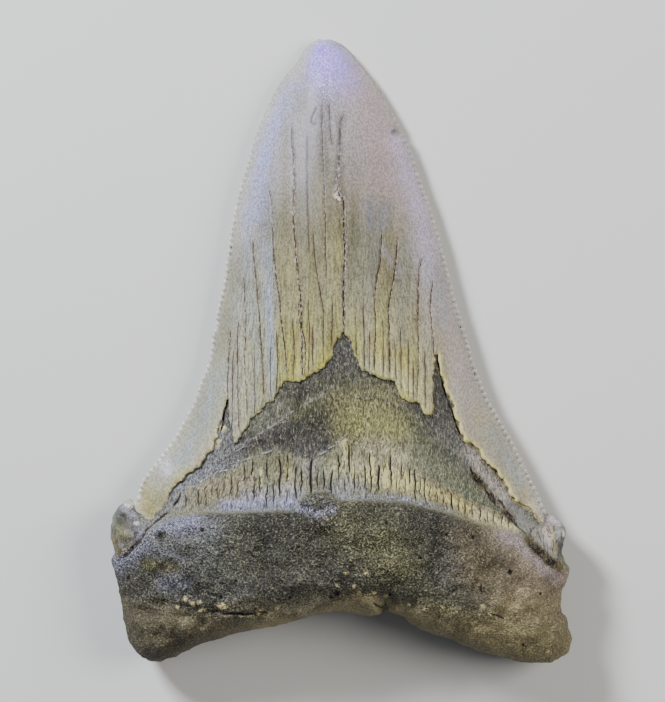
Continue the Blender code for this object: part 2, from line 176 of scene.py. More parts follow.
def toothed(line):
    """A cutting edge with its serrations: narrow notches between rounded teeth."""
    fine = resampled(line, SERRATION_PITCH / POINTS_PER_TOOTH)
    notch = 1 - np.abs(np.sin(np.pi * np.arange(len(fine)) / POINTS_PER_TOOTH)) ** 0.55
    depth = SERRATION_DEPTH * (0.12 + 0.88 * ease(49, 26, fine[:, 1])) * (1 + 0.35 * mottle(fine, 2.3, 5))
    return shifted(fine, depth * notch)


def worn(line):
    """The root's outline, roughened by fine bumps."""
    bumps = 0.18 * mottle(line, 1.7, 6) + 0.13 * mottle(line, 0.6, 7)
    bumps *= np.minimum(1, np.minimum(np.arange(len(line)), np.arange(len(line))[::-1]) / 4)
    return shifted(line, bumps)


plain_parts = [smooth(part, 0.3) for part in (LEFT_EDGE, LEFT_LOBE, BASE, RIGHT_LOBE, RIGHT_EDGE)]
left_edge, left_lobe, base, right_lobe, right_edge = plain_parts
outline = np.vstack([resampled(part, 0.9)[:-1] for part in plain_parts])
rim_parts = [toothed(left_edge), worn(left_lobe), worn(base), worn(right_lobe), toothed(right_edge)]
rim = np.vstack([part[:-1] for part in rim_parts])

# The enamel's foot: a ragged line of broken strips, a wing down to each shoulder and a tongue
# between them, parted by two narrow gaps.
ENAMEL_FOOT = [
    (-37.3, -27.6), (-36.4, -29.1), (-35.3, -30.1), (-34, -30.1), (-32.6, -29.2), (-31.9, -28.2),
    (-31.1, -27.1), (-30.8, -25.6), (-29.9, -24.5), (-29, -23.6), (-27.7, -22.9), (-27.2, -22.1),
    (-26.1, -21.4), (-25.6, -21.1), (-24.8, -20.1), (-23.9, -18.8), (-23, -18.3), (-22.7, -17.2),
    (-22.4, -15.9), (-22, -14.8), (-21.6, -13.6), (-21.5, -12.3), (-20.9, -11.1), (-20.6, -9.8),
    (-20.3, -8.8), (-20.1, -8.8), (-20, -10.5), (-19.7, -12.7), (-19.4, -15.2), (-18.9, -16.4),
    (-18.4, -16.3), (-18, -15.6), (-17.6, -14.8), (-17.1, -13.9), (-16.5, -13.4), (-16.3, -12.3),
    (-15.6, -12), (-14.9, -11.6), (-14.2, -11.2), (-13.8, -10.3), (-13.4, -9.4), (-12.5, -9.3), (-11.9, -9),
    (-11.4, -8), (-11, -6.9), (-10.3, -6), (-9.5, -5.7), (-8.5, -5.8), (-7.4, -5.7), (-6.5, -5.3),
    (-5.8, -4.6), (-5, -4.2), (-4.1, -3.9), (-3.1, -3.3), (-2.5, -2.1), (-1.8, -1.5), (-1.4, -0.5),
    (-1.1, 1.2), (-0.9, 2.3), (-0.5, 2), (-0.1, 1.9), (0.2, 3), (0.4, 3.1), (0.7, 2.5), (1.1, 2.2),
    (1.6, 1.6), (2, 0.8), (2.2, -0.5), (2.5, -1.5), (3.1, -2.4), (3.5, -3.5), (4.5, -4), (5.6, -4.4),
    (6.3, -5.1), (7.4, -5.5), (8.8, -5.3), (9.4, -5.8), (9.7, -6.8), (10.1, -7.7), (10.7, -8.7),
    (11.5, -9.2), (13.1, -9.3), (13.9, -9.8), (14.4, -10.7), (15.1, -11.4), (15.9, -11.4), (16.3, -10.5),
    (16.4, -8.2), (16.4, -5.5), (16.5, -3), (16.7, -1), (17.1, -1), (17.4, -2.6), (17.7, -4.4), (18.2, -6),
    (18.8, -7.5), (19.4, -8.7), (20.1, -10), (20.2, -11.4), (20.7, -12.7), (21.2, -13.9), (21.6, -15.4),
    (22.1, -16.2), (23.2, -16.6), (23.9, -17.6), (24.7, -17.8), (25, -19), (25.9, -19.9), (27, -21.1),
    (27.9, -22.2), (29, -23.3), (29.7, -24.4), (30.2, -25.6), (30.7, -26.7), (31.5, -27.3), (32.8, -27.8),
    (34, -28.5), (34.9, -29.8), (36, -30.8), (36.9, -29.4),
]

# The root's upper rim, where it stands above the neck, and the crease where its base begins.
ROOT_RIM = [
    (-43.4, -37.2), (-40.9, -37.2), (-38.9, -36.5), (-37.1, -35.4), (-35.3, -33.9), (-34.4, -32.5),
    (-32.6, -31.4), (-29.9, -30.1), (-27.2, -29.4), (-24.5, -29.1), (-20, -28.9), (-15.5, -28.7),
    (-11, -28.5), (-8.8, -28.3), (-7.6, -27.3), (-6.7, -25.9), (-5.2, -25.3), (-3.4, -25.1), (-2, -25.5),
    (-0.7, -26.3), (0.7, -26.6), (2.5, -26.6), (5.2, -26.6), (10.6, -26.9), (15.1, -28), (17.8, -28.7),
    (20.5, -29.6), (23.2, -30.5), (25.9, -31.4), (28.6, -32.1), (31.3, -32.9), (33.7, -34.3), (36, -36.6),
    (38.5, -38.4), (42.1, -39.7),
]
CREASE = [
    (-41.2, -43.3), (-36.2, -44.4), (-30.8, -45.1), (-25.4, -45.8), (-19.1, -46.5), (-12.8, -46.5),
    (-7.4, -46.2), (-2.9, -44.7), (1.6, -42.9), (6.1, -42.9), (10.6, -44.7), (15.1, -46.2), (19.6, -46.7),
    (25, -46.7), (30.4, -47.4), (35.8, -48.1), (42.1, -48.7),
]
foot = resampled(np.array(ENAMEL_FOOT), 0.24)
foot = shifted(foot, 0.26 * mottle(foot, 0.8, 8) + 0.18 * mottle(foot, 0.45, 9))
enamel_area = np.vstack([foot, smooth(RIGHT_EDGE, 1.0) + (3.0, 0.0), smooth(LEFT_EDGE, 1.0) - (3.0, 0.0)])
root_rim = smooth(ROOT_RIM, 0.5)

# Cracks in the enamel, as half width, depth, share filled with pale crumbs, and course.
CRACKS = [
    (0.24, 0.40, 0.55, [(0.7, 42.4), (-0.1, 40.2), (-0.2, 35.9), (-0.4, 32.9), (-0.7, 29.8),
        (-0.4, 27.6), (0.4, 26.4), (0.5, 21.7), (0.6, 17.9), (0.4, 10.7), (0.4, 2.8)]),
    (0.18, 0.30, 0.85, [(-8.9, 40.2), (-8.9, 37.2), (-8.6, 34.1), (-8.4, 27.3), (-8.5, 24.8),
        (-8.1, 18.6), (-7.6, 13.2), (-7.1, 8.9), (-7, 3.5), (-6.8, -5.1)]),
    (0.11, 0.09, 0.0, [(-6, 38.7), (-6, 29.8), (-5.8, 21.7), (-5.6, 16.8)]),
    (0.11, 0.09, 0.0, [(-5, 21.1), (-4.6, 15.8), (-4, 11.6), (-3.2, 6.9), (-3.2, 1.7), (-3.1, -2.6)]),
    (0.11, 0.09, 0.1, [(-3.4, 44), (-3.3, 35.9), (-3, 29.8), (-2.8, 21.7), (-2.6, 12.3)]),
    (0.10, 0.07, 0.0, [(-2, 44.5), (-2.1, 41.5), (-1.6, 35.9)]),
    (0.11, 0.07, 0.0, [(-4.1, 43.6), (-5, 41.8), (-5.2, 40.5), (-4.7, 40.2), (-4.5, 41.1)]),
    (0.14, 0.24, 0.3, [(-12.9, 28.9), (-12.4, 25.1), (-11.9, 16.1), (-11, 9.6), (-10.4, 3.5),
        (-9.9, -0.1), (-9.5, -5.1)]),
    (0.13, 0.24, 0.2, [(-15.8, 19.7), (-15.5, 15.4), (-14.9, 10), (-14.4, 3.5), (-13.9, -3),
        (-13.7, -8.4)]),
    (0.11, 0.10, 0.5, [(-17.5, 13.6), (-17.1, 7.8), (-17, 3.5), (-17.2, -1.9), (-16.9, -7.3),
        (-16.7, -12)]),
    (0.12, 0.20, 0.8, [(-19.8, 3.5), (-20.2, -3.7), (-20.3, -8.7)]),
    (0.10, 0.07, 0.0, [(-18.4, 5), (-18.5, -0.1), (-18.4, -7.3), (-18.2, -14.1)]),
    (0.11, 0.08, 0.0, [(-5, 4.4), (-5, -0.5), (-5, -3.7)]),
    (0.14, 0.26, 0.3, [(7.2, 21.5), (7, 16.1), (6.3, 12.5), (5.9, 7.8), (6.1, 5), (5.8, -4)]),
    (0.14, 0.26, 0.4, [(10.1, 20.4), (9.7, 15.2), (9, 11.1), (8.4, 7.1), (8.5, 3.5), (8.6, -4.8)]),
    (0.11, 0.11, 0.3, [(14.6, 16.5), (13.9, 13.6), (13.7, 7.1), (13.7, -0.1), (13.5, -8.7)]),
    (0.11, 0.11, 0.4, [(16.4, 12.5), (16, 7.1), (16.4, 2.1), (16.6, -1.2)]),
    (0.10, 0.07, 0.0, [(3.8, 8.2), (4, 2.8), (4.1, -3.3)]),
    (0.10, 0.07, 0.0, [(10.6, 4.2), (10.6, -7.7)]),
    (0.10, 0.07, 0.0, [(11.9, 2.4), (11.9, -8.7)]),
    (0.10, 0.07, 0.0, [(7.4, 5.7), (7.4, -5.1)]),
    (0.10, 0.06, 0.0, [(2.5, 6.8), (2.7, -1.2)]),
    (0.10, 0.06, 0.0, [(5, 3.5), (5, -3.7)]),
    (0.10, 0.06, 0.0, [(9.5, 1.7), (9.7, -5.8)]),
    (0.10, 0.06, 0.0, [(-11.5, 3.5), (-11.2, -1.9), (-11.5, -7.7)]),
    (0.10, 0.06, 0.0, [(-12.6, 0.6), (-12.4, -8.7)]),
    (0.10, 0.06, 0.0, [(-8.6, 5.7), (-8.3, -0.1), (-8.5, -5.3)]),
    (0.10, 0.07, 0.6, [(-7.6, 8.6), (-7.3, 5), (-6.3, 0.6), (-6.5, -4.8)]),
    (0.10, 0.06, 0.0, [(-5.8, 8.9), (-5.6, 1.7), (-5.8, -4.2)]),
    (0.10, 0.06, 0.0, [(-1.4, 8.9), (-1.6, 3.5), (-1.8, -1)]),
    (0.10, 0.06, 0.0, [(14.9, -0.1), (14.9, -10.9)]),
    (0.10, 0.06, 0.0, [(12.8, -1.9), (12.8, -9.1)]),
    (0.10, 0.06, 0.0, [(-15.5, -0.1), (-15.3, -11.6)]),
    (0.10, 0.06, 0.0, [(-19.3, -0.1), (-19.4, -14.5)]),
]
# Upright slits in the neck, as x, top, bottom and half width.
SLITS = [
    (-27.7, -25.8, -28, 0.12), (-25.3, -24.9, -28, 0.14), (-24.1, -24.2, -26.6, 0.1),
    (-22.9, -23.9, -26.2, 0.12), (-21.8, -24.2, -26.9, 0.1), (-20.7, -23.1, -25.3, 0.09),
    (-19.4, -22.4, -26.2, 0.11), (-18.4, -22.8, -26.7, 0.1), (-17, -20.8, -23.5, 0.13),
    (-16.6, -24.2, -27.4, 0.1), (-15.8, -19.7, -22.4, 0.15), (-15.3, -23.1, -27.1, 0.1),
    (-14.4, -22.1, -25.5, 0.17), (-12.9, -19.4, -23.1, 0.14), (-13.1, -23.9, -28, 0.15),
    (-10.8, -19, -26, 0.24), (-11.9, -23.5, -27.6, 0.14), (-9.4, -18.4, -23.5, 0.2),
    (-9.7, -24.2, -27.1, 0.12), (-8, -20.1, -26.4, 0.2), (-7, -21, -25.3, 0.17), (-5.3, -19.2, -25.5, 0.3),
    (-4.1, -21.5, -24.6, 0.13), (-2.9, -20.6, -24.8, 0.17), (-1.7, -21, -25.5, 0.19),
    (-0.3, -18.4, -23.3, 0.17), (1.4, -16.1, -21.9, 0.2), (0.7, -22.8, -25.3, 0.1),
    (2.3, -21.1, -24.9, 0.15), (3.1, -22.1, -24.6, 0.09), (4.1, -20.1, -24.6, 0.17),
    (5.1, -18.1, -25.1, 0.16), (6.5, -20.2, -25.1, 0.23), (7.6, -19.4, -21.7, 0.1),
    (8.8, -18.1, -24.8, 0.16), (9.9, -21.7, -24.9, 0.1), (10.7, -20.4, -22.8, 0.14),
    (11.3, -22.4, -25.3, 0.09), (12.1, -21, -23.9, 0.16), (13, -21.1, -26.9, 0.17),
    (13.9, -22.4, -25.6, 0.09), (14.8, -22.2, -27.4, 0.14), (15.7, -23.5, -26.6, 0.1),
    (16.9, -24.6, -26.9, 0.09), (18, -24.9, -27.4, 0.09), (19.7, -25.3, -28.7, 0.16),
    (20.8, -26.2, -28.7, 0.11), (21.8, -27.1, -29.2, 0.14), (23.2, -27.4, -29.6, 0.1),
    (24.8, -27.6, -30.1, 0.14), (26, -28.9, -30.7, 0.1), (27.2, -28.9, -30.9, 0.09),
    (28.7, -29.4, -31.2, 0.12), (29.9, -30.3, -31.8, 0.09),
]
# Splits along the root's shoulders, and clefts in its base, as half width, depth, how dark with
# painted shade down the gap, and course.
SPLITS = [
    (0.30, 0.60, 0.80, [(23, -20.8), (23.3, -21.7), (23.8, -22.6)]),
    (0.66, 0.80, 0.62, [(23.6, -22.4), (24.2, -23.3), (25, -24), (25.6, -24.5)]),
    (0.24, 0.55, 1.00, [(25.6, -24.6), (26, -25.5), (26.6, -26.6), (27.4, -27.4), (28.1, -28.4)]),
    (0.44, 0.55, 0.66, [(26.5, -25.6), (27.2, -26.6), (27.7, -27.4)]),
    (0.28, 0.45, 0.80, [(27.9, -26.7), (28.6, -27.4), (29.2, -28.4)]),
    (0.56, 0.70, 0.75, [(29, -28.9), (29.7, -29.6), (30.5, -30.4)]),
    (0.34, 0.60, 0.90, [(30.4, -30.3), (31, -30.9), (31.3, -31.5)]),
    (0.26, 0.60, 1.00, [(31.1, -31.1), (32.2, -32.2), (33.5, -33.3)]),
    (0.85, 0.90, 0.42, [(33.4, -33.8), (34.2, -35), (35.5, -36.3), (36.9, -37.6), (38.7, -38.8)]),
    (0.30, 0.70, 1.00, [(-28.4, -25.3), (-29, -26.7), (-29.6, -27.6), (-30.1, -28.6)]),
    (0.24, 0.50, 0.90, [(-30.4, -28.8), (-31.3, -29.4), (-32.4, -30.3), (-33.5, -31.2)]),
    (0.14, 0.40, 0.90, [(-33.5, -31.2), (-34.4, -32), (-35, -32.9), (-35.7, -33.9)]),
    (0.46, 0.60, 0.85, [(-35.6, -33.8), (-36.5, -34.8), (-37.5, -35.8), (-38.9, -37)]),
    (0.26, 0.70, 1.00, [(-20.2, -8.6), (-20.4, -10.2), (-20.8, -11.6), (-21.1, -13.2), (-21.6, -14.8)]),
    (0.24, 0.60, 1.00, [(17.1, -0.8), (17.4, -3), (17.9, -5.5), (18.6, -7.8), (19.4, -10), (20.1, -12.2),
        (20.9, -14.3), (21.6, -15.9)]),
    (0.22, 0.55, 1.00, [(8, -45.6), (7.9, -44.9), (7.6, -44.4)]),
    (0.20, 0.45, 1.00, [(24.8, -41), (24.6, -41.9), (24.8, -42.9)]),
    (0.30, 0.45, 0.90, [(-28.4, -45.2), (-27.5, -45), (-26.5, -45.2)]),
    (0.34, 0.50, 0.90, [(-22.9, -46.3), (-22, -46.1), (-20.7, -46.4), (-18.9, -46.4), (-16.7, -46.6),
        (-14.6, -46.2), (-13.1, -46)]),
    (0.26, 0.40, 0.90, [(5.6, -44.4), (6.8, -45.5), (7.7, -45.8)]),
    (0.24, 0.35, 0.80, [(26.1, -46.4), (27.5, -46.9), (28.8, -47.6)]),
]
# Every groove: half width, depth, share filled with crumbs, how dark, and a slightly swaying course.
plain_grooves = [(half, depth, crumbs, 1.0, 0.07, smooth(line, 0.4)) for half, depth, crumbs, line in CRACKS]
for x, top, bottom, half in SLITS:
    line = [(x + 0.12 * np.sin(7 * x), top), (x + 0.10 * np.sin(5 * x), (top + bottom) / 2),
            (x + 0.14 * np.sin(3 * x), bottom)]
    plain_grooves.append((half, 0.30 + 1.7 * half, 0.0, 1.0, 0.17, smooth(line, 0.3)))
plain_grooves += [(half, depth, 0.1, dark, 0.12, smooth(line, 0.35)) for half, depth, dark, line in SPLITS]
grooves = [(half, depth, crumbs, dark, shifted(line, sway * mottle(line, 0.8, 10)))
           for half, depth, crumbs, dark, sway, line in plain_grooves]

# The mesh has its points this far apart, closer on the rough root, and lines keep clear of others.
CROWN_SPACING = 0.40
ROOT_SPACING = 0.315
OUTER_FACE_SPACING = 0.85
RIM_CLEARANCE = 0.45
LINE_CLEARANCE = 0.19

turn = np.linspace(0, 2 * np.pi, 9)
ring = np.column_stack([np.cos(turn), np.sin(turn)])


def inset(points):
    """How far each point is from the outline."""
    return nearest(points, closed(outline))[0]


def clear_of_rim(line):
    """The part of a line that is far enough inside the outline to make sound triangles."""
    return line[inside(line, outline) & (inset(line) > RIM_CLEARANCE)]


def shell(lines, loose):
    """Triangles over the outline that keep the lines as edges: points, the rim's first, and faces."""
    chains = [closed(rim), *(line for line in map(clear_of_rim, lines) if len(line) > 1)]
    starts = np.cumsum([0] + [len(chain) for chain in chains])
    edges = [(i, i + 1) for start, end in zip(starts, starts[1:]) for i in range(start, end - 1)]
    points = np.vstack([*chains, loose])
    for _ in range(2):
        made = delaunay_2d_cdt([Vector(p) for p in points], edges, [], 1, 1e-5)
        corners = np.array([tuple(p) for p in made[0]])
        faces = np.array(made[2])
        # The given point that each point comes from; new ones, where lines cross, go last.
        source = np.array([min(given, default=10**9) for given in made[3]])
        # A side that joins two rim points across a tooth gets a middle point, because the upper
        # and the lower face would otherwise share it.
        sides = np.sort(source[np.vstack([faces[:, [0, 1]], faces[:, [1, 2]], faces[:, [2, 0]]])], axis=1)
        on_rim = (sides < len(rim)).all(axis=1) & ~np.isin(sides[:, 1] - sides[:, 0], (1, len(rim) - 1))
        bridges = np.unique(sides[on_rim], axis=0)
        points = np.vstack([points, rim[bridges].mean(axis=1)])
    order = np.argsort(source, kind="stable")
    order = order[np.isin(order, faces)]
    place = np.zeros(len(source), int)
    place[order] = np.arange(len(order))
    return corners[order], place[faces]


def field(area_top, area_bottom, spacing, margin):
    """A triangular grid of points, between two heights, at least the margin inside the outline."""
    rows = np.arange(area_bottom, area_top, spacing * 0.75**0.5)
    columns = np.arange(-44, 44, spacing)
    x, y = np.meshgrid(columns, rows)
    x = x + (np.arange(len(rows)) % 2)[:, None] * spacing / 2
    points = np.column_stack([x.ravel(), y.ravel()])
    points = points[inside(points, outline)]
    return points[inset(points) > margin]


def hoops(depth, spacing, top=60, bottom=-60):
    """Points at one depth inside the outline, between two heights, but for those near a corner."""
    points = shifted(resampled(closed(outline), spacing)[:-1], depth)
    points = points[(points[:, 1] < top) & (points[:, 1] > bottom)]
    points = points[inside(points, outline)]
    return points[inset(points) > 0.93 * depth]


# Thin ridges across the neck, as half width, how pale, and course.
RIDGES = [
    (0.15, 0.7, [(-23.9, -20.4), (-21.4, -19.4), (-18.2, -17.9), (-14.2, -15.9)]),
    (0.17, 1.0, [(-27.9, -25.5), (-25.4, -23.9), (-22.7, -22.1), (-19.6, -21), (-17.3, -19.7),
        (-14.2, -18.6), (-11.7, -17.6)]),
    (0.14, 1.0, [(-4.1, -18.8), (-2.9, -18.1), (-0.9, -16.5), (1.1, -14.7)]),
    (0.20, 0.25, [(-18.9, -17.6), (-14.2, -14.8), (-7.4, -10.2), (-3.2, -8)]),
    (0.16, 0.30, [(1.6, -8.7), (5.6, -8.6), (8.5, -9.6), (10.6, -11.1), (11.7, -12.3)]),
    (0.14, 0.9, [(-6.7, -19.2), (-5.8, -18.4), (-4.7, -19)]),
    (0.12, 0.6, [(-9.9, -17.7), (-9, -17.2), (-7.9, -17.9), (-7.6, -19.2)]),
]
# Hollows and pores in the root, as x, y, radius and depth.
PITS = [
    (-31.6, -38.6, 0.95, 1), (-32, -33, 1.5, 0.45), (-0.8, -42.7, 0.62, 0.8), (-1.8, -43.4, 0.42, 0.6),
    (-9, -43.4, 0.28, 0.5), (29.8, -39.3, 0.5, 0.8), (23.2, -33.1, 0.36, 0.5), (7.9, -30.3, 0.34, 0.5),
    (8.6, -43, 0.34, 0.5), (-24.5, -31.8, 0.42, 0.5), (-18.4, -40.6, 0.26, 0.4), (-21.1, -43.6, 0.3, 0.4),
    (13.9, -36.5, 0.3, 0.4), (-7.4, -34.5, 0.26, 0.4), (18.5, -32.5, 0.28, 0.4), (35.3, -43.3, 0.3, 0.4),
    (-37.8, -40.6, 0.4, 0.5), (32.2, -52.3, 0.3, 0.4),
]
# Pale crumbs of sediment stuck in the base, as x, y, half length, half width and turn in degrees.
SPECKS = [
    (-20.9, -45.1, 0.95, 0.52, -6), (-27.5, -44, 0.38, 0.24, 20), (-26.2, -44.7, 0.36, 0.26, 0),
    (-24.9, -44.5, 0.26, 0.3, 0), (-24.5, -45.9, 0.62, 0.2, 14), (-28.9, -45.4, 0.24, 0.2, 0),
    (-14.3, -46.1, 0.8, 0.32, 24), (-12.7, -46.4, 0.3, 0.22, 0), (-11.3, -45.4, 0.55, 0.16, 18),
    (-7.4, -46, 0.3, 0.14, 0), (2.2, -41.4, 0.28, 0.28, 0), (3.1, -42.6, 0.3, 0.44, 20),
    (7.9, -43.3, 0.42, 0.26, 0), (11.9, -44.9, 0.3, 0.2, 0), (14.6, -45.6, 0.4, 0.2, 6),
    (17.8, -45.3, 0.34, 0.24, 0), (25, -45.2, 0.34, 0.22, -40), (26.6, -46.6, 0.85, 0.22, -8),
    (0.9, -39.1, 0.24, 0.26, 0), (-0.7, -41.3, 0.2, 0.22, 0), (4.3, -39, 0.2, 0.2, 0),
    (5.8, -42.6, 0.28, 0.2, 0), (23.2, -48.3, 0.34, 0.16, 0), (10.1, -45.8, 0.36, 0.18, -20),
    (-21.1, -14.1, 0.52, 0.62, 0), (-21.8, -16.4, 0.2, 0.34, 0), (-22, -17.3, 0.18, 0.2, 0),
    (-0.8, 28.5, 0.2, 0.24, 0), (-0.5, 27.8, 0.24, 0.2, 30), (-1, 27.3, 0.2, 0.26, 0),
    (-0.4, 26.7, 0.18, 0.26, 10), (36.7, -53.7, 0.3, 0.2, 30),
]
SHOULDER_Y = -27.5
ridges = [(half, pale, smooth(line, 0.35)) for half, pale, line in RIDGES]
ridges = [(half, pale, shifted(line, 0.26 * mottle(line, 0.9, 11))) for half, pale, line in ridges]
lines = with_sides(foot, 0.07)
for half, *_, line in ridges + grooves:
    lines += with_sides(line, half)
for x, y, radius, _ in PITS:
    lines += [(x, y) + radius * ring, (x, y) + 0.5 * radius * ring]
for x, y, long, short, degrees in SPECKS:
    uneven = (1 + 0.26 * np.sin(turn * 3 + x))[:, None]
    shape = ring * (0.85 * long, 0.8 * short) * uneven @ turned(degrees)
    lines += [(x, y) + shape, (x, y) + 0.72 * shape]
crown_hoops = [hoops(depth, 0.37, bottom=SHOULDER_Y) for depth in (0.52, 0.90)]
root_hoops = [hoops(depth, 0.40, top=SHOULDER_Y) for depth in (0.06, 0.22, 0.48, 0.85)]
grid = np.vstack([field(60, -24, CROWN_SPACING, 1.2), field(-24, -60, ROOT_SPACING, 1.15)])
for line in lines:
    close = (np.abs(grid - line.mean(axis=0)) < np.ptp(line, axis=0) / 2 + 0.6).all(axis=1)
    keep = np.ones(len(grid), bool)
    keep[close] = nearest(grid[close], line)[0] > LINE_CLEARANCE
    grid = grid[keep]
top_points, top_faces = shell(lines, np.vstack([*crown_hoops, *root_hoops, grid]))
under_hoops = [hoops(0.52, 0.8, bottom=SHOULDER_Y)]
under_hoops += [hoops(depth, 0.8, top=SHOULDER_Y) for depth in (0.12, 0.5, 1.1)]
under_points, under_faces = shell([], np.vstack([*under_hoops, field(60, -60, OUTER_FACE_SPACING, 1.6)]))

# Thickness from the flat face up along the middle of the tooth, as (y, height), the height of its
# edge in the same way, and the root's thickness out from the middle, as (distance, height).
RIDGE = [(56.2, 2.6), (52.0, 5.0), (45.0, 8.0), (27.0, 12.7), (9.0, 15.6), (0.0, 16.6), (-9.0, 17.2),
         (-20.0, 18.0), (-30.0, 19.4)]
EDGE_HEIGHT = [(56.2, 1.6), (40.0, 2.4), (0.0, 3.4), (-27.0, 5.0), (-34.0, 7.5), (-56.2, 7.0)]
ROOT_HEIGHT = [(0.0, 22.6), (10.0, 21.9), (20.0, 19.2), (30.0, 15.6), (37.0, 13.0), (42.0, 11.0)]
ENAMEL_STEP = 0.5


def curve_at(table, place, step=0.5):
    """Values at the places, read from a smooth curve through a table of (place, value)."""
    curve = smooth(table, step)
    order = curve[:, 0].argsort()
    return np.interp(place, curve[order, 0], curve[order, 1])


def blade_share(points):
    """0 on the crown's middle line and 1 on its cutting edges, at each point's own height."""
    places = np.arange(-29.5, 57.5, 0.25)
    # A running mean over 25 places evens the edges out, so that their steps don't cross the blade.
    even = np.ones(25) / 25
    left, right = (np.interp(places, line[:, 1], line[:, 0])
                   for line in (smooth(LEFT_EDGE, 0.5)[::-1], smooth(RIGHT_EDGE, 0.5)))
    left, right = (np.convolve(np.pad(side, 12, "edge"), even, "valid") for side in (left, right))
    left_x = np.interp(points[:, 1], places, left)
    right_x = np.interp(points[:, 1], places, right)
    share = (2 * points[:, 0] - left_x - right_x) / np.maximum(right_x - left_x, 0.1)
    return unit(np.abs(share))


def below_rim(points):
    """How far each point is below the root's upper rim, square to it; negative on the neck."""
    order = root_rim[:, 0].argsort()
    x, y = root_rim[order].T
    slope = np.interp(points[:, 0], x, np.gradient(y, x + np.arange(len(x)) * 1e-6))
    return (np.interp(points[:, 0], x, y) - points[:, 1]) / np.hypot(1, slope)


def rounded(depth, radius):
    """A quarter circle's rise, from 0 at the outline to 1 at `radius` inside it."""
    return np.sqrt(1.0 - (1.0 - unit(depth / radius)) ** 2)


def cusps(points, depth):
    """The swelling of the knobs under the shoulders, which rounds over at the outline."""
    return KNOB_SWELLING * rounded(depth, KNOB_ROUNDING) * ease(-25.5, -29.5, points[:, 1])


def carve(points, line, half):
    """0 outside a groove of the half width along the line, and up to 1 on its floor."""
    found = np.zeros(len(points))
    reach = np.ptp(line, axis=0) / 2 + half
    close = (np.abs(points - (line.min(axis=0) + line.max(axis=0)) / 2) < reach + 0.05).all(axis=1)
    gap, along = nearest(points[close], line)
    length = np.hypot(*np.diff(line, axis=0).T).sum()
    taper = unit(np.minimum(along, length - along) / min(1.2, 0.3 * length) + 0.15)
    found[close] = unit(1 - gap / half) * taper
    return found


# Lumps and dimples, as x, y, radius and height: crust on the root's rim, the knobs and the nick.
LUMPS = [
    (-5.9, -26.5, 0.95, 0.45), (-3.5, -26, 1.35, 0.55), (-1.8, -26.8, 1, 0.4), (-4.9, -27.1, 0.8, 0.3),
    (10.6, 39.7, 0.8, -0.5), (-31.7, -33.1, 1, -0.45), (-32.4, -33.3, 0.7, -0.3), (-37.4, -29.4, 1.5, 0.55),
    (-38.6, -28.5, 1.2, 0.45), (-39.2, -30.4, 1, -0.55), (-40.1, -31.4, 1.1, 0.35),
    (-38.1, -32.7, 1.5, 0.5), (-40.6, -34.1, 0.9, 0.35), (-39.6, -35.9, 1.3, 0.35), (-36.2, -33, 1.3, 0.3),
    (38.3, -30.9, 1.4, 0.5), (39.4, -32.8, 1.1, 0.4), (37.6, -34.3, 1.4, 0.45), (38.8, -35.2, 1, -0.4),
    (37.3, -32.2, 0.9, -0.3), (38.9, -37.2, 1.2, 0.3), (-0.4, 27.3, 0.75, -0.25),
]
# The upper edge of the band of slits in the neck.
BAND_TOP = [
    (-34.4, -31.1), (-30.8, -28), (-27.9, -25.5), (-25.4, -23.5), (-22.7, -22.1), (-17.3, -19.7),
    (-11.9, -17.6), (-8.8, -18.4), (-5.6, -19), (-2.9, -18.1), (0.7, -15.6), (2.7, -17.7), (7, -19.2),
    (10.6, -20.6), (14.2, -22.1), (17.8, -24.2), (21.4, -26), (26.8, -28.5), (31.3, -31.2),
]
KNOB_SWELLING = 3.0
KNOB_ROUNDING = 2.6
LOBE_ROUNDING = 8.0
CREASE_DEPTH = 0.5
CREASE_HALF_WIDTH = 1.1
NECK_HOLLOW = 0.75
BAND_STEP = 0.14
NECK_RIDGE_HEIGHT = 0.22
SPECK_HEIGHT = 0.18
SERRATION_RIDGE_HEIGHT = 0.16

top_x, top_y = top_points.T
top_depth = inset(top_points)
top_depth[:len(rim)] = 0
top_below = below_rim(top_points)
top_foot = nearest(top_points, foot)[0]
on_enamel = inside(top_points, enamel_area) & (top_y > -31)
top_foot = np.where(on_enamel, top_foot, -top_foot)
in_band = curve_at(BAND_TOP, top_x) - top_y

# The crown's dome with its knobs, and the root's two lobes, which take over below the rim.
edge = curve_at(EDGE_HEIGHT, top_y)
dome = (1 - blade_share(top_points) ** 2) ** 1.12
crown = edge + (curve_at(RIDGE, top_y) - edge) * dome
crown = np.maximum(crown, edge + cusps(top_points, top_depth))
lobes = edge + (curve_at(ROOT_HEIGHT, np.abs(top_x)) - edge) * rounded(top_depth, LOBE_ROUNDING)
folds = ease(-6, -16, top_x)
lumps = 0.55 * mottle(top_points, 6.0, 20) + (0.42 + 0.22 * folds) * mottle(top_points, 2.6, 21, 2.0)
lumps += (0.26 + 0.10 * folds) * mottle(top_points, 1.2, 22) + 0.12 * mottle(top_points, 0.6, 23)
lobes += lumps * unit(top_depth / 2.5)
from_crease = nearest(top_points, smooth(CREASE, 1.0))[0]
lobes -= CREASE_DEPTH * unit(1 - from_crease / CREASE_HALF_WIDTH) * ease(16, 0, top_x)
on_root = 0.34 * ease(-0.5, 0.6, top_below) + 0.66 * ease(-1.0, 5.0, top_below)
height = crown + (lobes - crown) * on_root

